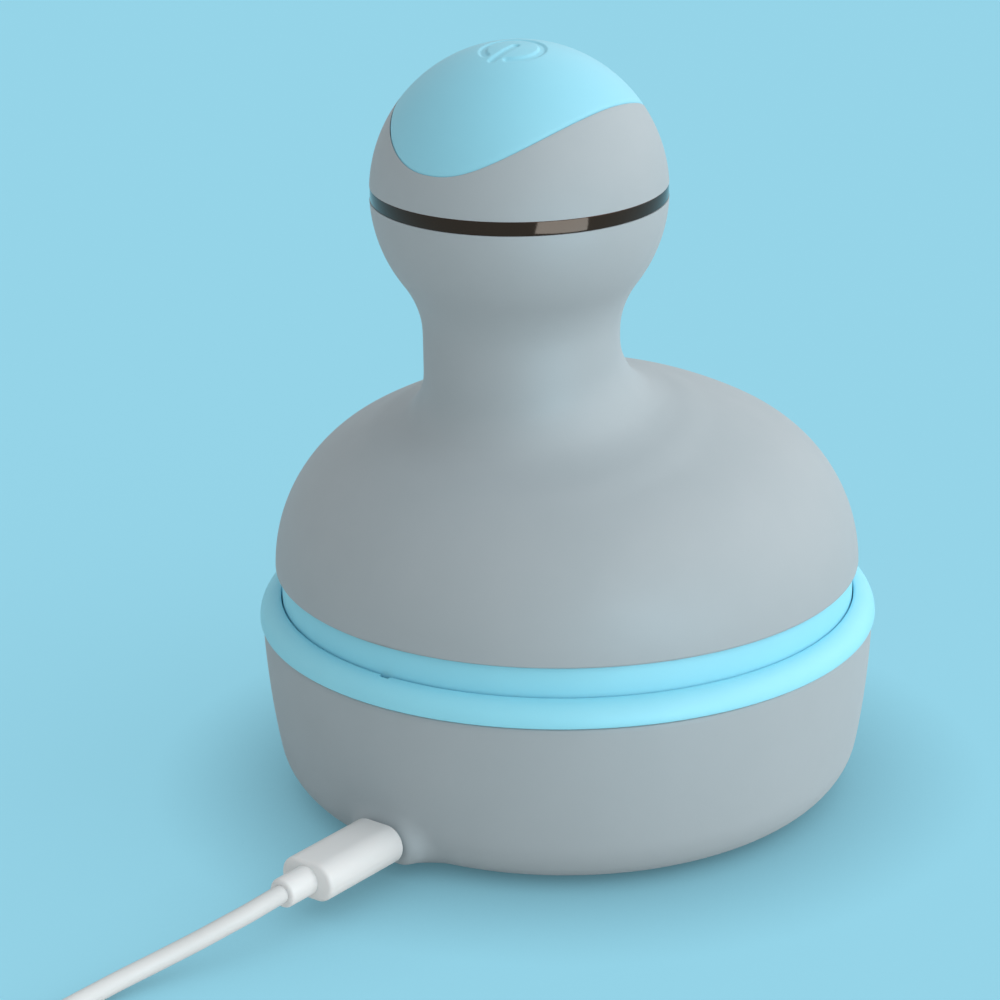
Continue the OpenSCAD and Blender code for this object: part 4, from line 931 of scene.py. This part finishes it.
# %% The far plug and its metal shell
FAR_Y, FAR_Z, FAR_FACE, FAR_END, SHELL_END, SHEET = -178.0, 4.4, 71.0, 49.0, 83.0, 0.3
FAR_W, FAR_T, FAR_SIDE_R, FAR_COLLAR_END, SHELL_W, SHELL_T = 15.5, 8.0, 1.8, 43.5, 12.0, 4.5
far_shape = moulded_plug(FAR_W, FAR_T, FAR_SIDE_R, FAR_FACE, FAR_END, FAR_COLLAR_END, FAR_Z)
far_plug = piece("far_plug_overmould", lying_along_x(far_shape, FAR_Y), "white_plastic", "charging_cable",
                 "far_plug", smooth_angle=50)
wide, narrow = stadium(SHELL_W, SHELL_T, 0.4), stadium(SHELL_W - 2 * SHEET, SHELL_T - 2 * SHEET, 0.3)
shell = lofted(FAR_Z, [(FAR_FACE - 4, wide), (SHELL_END - 0.06, wide), (SHELL_END, wide * (0.99, 0.975)),
                       (SHELL_END, narrow), (FAR_FACE + 1, narrow)])
tongue = lofted(FAR_Z, [(y, stadium(11.0, 1.9, 0.2)) for y in (FAR_FACE + 0.5, SHELL_END - 0.5)])
far_shell = piece("far_plug_shell", lying_along_x(joined(shell, tongue), FAR_Y), "bright_steel",
                  "charging_cable", "far_shell", smooth_angle=40)

# %% [markdown]
# ## Finishes for the solids that stay
# Gears, motor, cell, boards, coils, the housing's seal and the cable's tie are mostly out of sight in
# use but are part of the model. Each keeps its CAD mesh and gets the finish that its material slot
# names in the record.

# %% Dress the solids
SLOTS = {
    "white_plastic": ("gearbox_cover",),
    "black_rubber": ("housing_seal",),
    "black_plastic": ("base_chips", "control_chips", "battery_cradle", "cable_tie", "switch_plunger"),
    "bright_steel": ("gearbox_screws", "motor_screws", "countershaft", "motor_can", "motor_shaft",
                     "switch_body", "button_spring"),
    "copper_wire": ("transmitter_coil", "receiver_coil"),
    "bronze": ("shaft_bushes",),
    "ferrite": ("transmitter_core",),
    "circuit_board": ("base_board", "control_board", "head_board"),
    "gear_plastic": ("motor_pinion", "reduction_gear", *(f"head_gear_{n}" for n in range(1, 5))),
    "cell_wrap": ("battery_cell",),
}
for finish, nodes in SLOTS.items():
    for name in nodes:
        coat(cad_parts[name], finish)
print("solids dressed:", sum(len(n) for n in SLOTS.values()))

# %% [markdown]
# ## Studio
# The photograph has one flat light blue all round, a soft narrow shadow at the object's foot and
# broad light from the right, as from large softboxes. Three very soft suns stand for these boxes and
# a plain sky fills the rest. Their strengths add up to full light on the level floor, so colours
# render about as they are written.

# %% Floor
def seen(a, b, c):
    """A direction given as the picture's right, away from the camera and up."""
    return turn @ np.array([a, b, c], float)


# To the camera and in reflections the floor is the studio's blue, mostly as its own glow, which keeps
# the shadow faint. The glow fades where the object is near in the light's direction, for the darker
# foot of the shadow. To all other light the floor is pale grey, so it doesn't tint the object.
BACKGROUND, BOUNCE, GLOW, FLOOR_HALF = "#95D4E8", "#E6E5E2", 0.72, 8
CONTACT, CONTACT_SHARE, SHADE_FROM = 26.0, 0.75, (0.9, -0.25, 0.3)
floor_mesh = bpy.data.meshes.new("studio_floor")
floor_mesh.from_pydata([(x * FLOOR_HALF, y * FLOOR_HALF, 0) for x, y in ((-1, -1), (1, -1), (1, 1), (-1, 1))],
                       [], [(0, 1, 2, 3)])
floor = put("studio_floor", floor_mesh)
floor_finish = bpy.data.materials.new("painted_floor")
floor_tree = blank_tree(floor_finish)
ray = add(floor_tree, "ShaderNodeLightPath").outputs
straight = add(floor_tree, "ShaderNodeMath", {0: ray["Is Camera Ray"], 1: ray["Is Glossy Ray"]},
               operation="ADD")
seen_ray = add(floor_tree, "ShaderNodeMath", {0: straight, 1: ray["Is Transmission Ray"]},
               operation="ADD", use_clamp=True)
blue_paint = add(floor_tree, "ShaderNodeBsdfDiffuse", {"Color": linear(BACKGROUND)})
near_object = add(floor_tree, "ShaderNodeAmbientOcclusion", {
    "Distance": CONTACT * MM, "Normal": seen(*SHADE_FROM)}, samples=12)
open_share = add(floor_tree, "ShaderNodeMath", {
    0: near_object.outputs["AO"], 1: CONTACT_SHARE, 2: 1 - CONTACT_SHARE}, operation="MULTIPLY_ADD")
blue_glow = add(floor_tree, "ShaderNodeEmission", {"Color": linear(BACKGROUND), "Strength": open_share})
blue = add(floor_tree, "ShaderNodeMixShader", {0: GLOW, 1: blue_paint, 2: blue_glow})
grey = add(floor_tree, "ShaderNodeBsdfDiffuse", {"Color": linear(BOUNCE)})
floor_shader = add(floor_tree, "ShaderNodeMixShader", {0: seen_ray, 1: grey, 2: blue})
add(floor_tree, "ShaderNodeOutputMaterial", {"Surface": floor_shader})
floor.data.materials.append(floor_finish)
print("floor:", 2 * FLOOR_HALF, "m wide,", len(floor_tree.nodes), "nodes")

# %% Sky and softboxes
SKY_LEVEL, BOX_SPREAD = 0.575, 70
BOXES = {"right_box": ((1.0, -0.03, 0.36), 0.38), "front_right_box": ((0.67, -0.74, 0.52), 0.39),
         "back_right_box": ((0.6, 0.7, 0.6), 0.21)}
world = bpy.data.worlds.new("studio_sky")
scene.world = world
sky_tree = blank_tree(world)
sky = add(sky_tree, "ShaderNodeBackground", {"Color": (1, 1, 1, 1), "Strength": SKY_LEVEL})
add(sky_tree, "ShaderNodeOutputWorld", {"Surface": sky})


def facing(place, towards):
    """A matrix at a place whose own +Z points in a direction."""
    z = unit(towards)
    x = unit(np.cross([0.01, 0, 1], z))
    return matrix_from(x, np.cross(z, x), z, place)


# a box is a very soft sun; its level is the share of full light on a surface that faces it
floor_light = SKY_LEVEL
for name, (towards, level) in BOXES.items():
    box = bpy.data.lights.new(name, "SUN")
    box.energy, box.angle = level * pi, radians(BOX_SPREAD)
    put(name, box).matrix_world = facing((0, 0, 0), seen(*towards))
    floor_light += level * unit(towards)[2]
print("light on the level floor:", round(float(floor_light), 3), "of full light")

# %% [markdown]
# ### The strip light in the trim ring
# The gloss ring mirrors one small box of light as a pale patch right of its middle. The box stands
# low in front, because a level ring seen from above mirrors what lies below the camera. It only
# lights reflections, so it leaves the matt parts and the floor as they are.

# %% Strip light
STRIP_SIDE, STRIP_FRONT, STRIP_TILT, STRIP_FAR = 0.289, -0.957, 0.02, 0.24
STRIP_SIZE, STRIP_COLOUR, STRIP_WATTS = (0.18, 0.11), (0.42, 0.81, 1.0), 0.49
ring_spot = np.array([0, -NECK_OFFSET, TRIM_TOP]) * MM + seen(STRIP_SIDE, STRIP_FRONT, 0) * HEAD_R * MM
looking = unit(ring_spot - np.array(CAMERA_AT))
spot_normal = seen(STRIP_SIDE, STRIP_FRONT, STRIP_TILT)
mirrored = unit(looking - 2 * (looking @ spot_normal) * spot_normal)
strip_at = ring_spot + mirrored * STRIP_FAR
strip = bpy.data.lights.new("strip_light", "AREA")
strip.shape, strip.color, strip.energy = "RECTANGLE", STRIP_COLOUR, STRIP_WATTS
strip.size, strip.size_y = STRIP_SIZE
strip_light = put("strip_light", strip)
strip_light.matrix_world = facing(strip_at, mirrored)
strip_light.visible_camera = strip_light.visible_diffuse = False
print("strip light at", [round(float(v), 3) for v in strip_at])
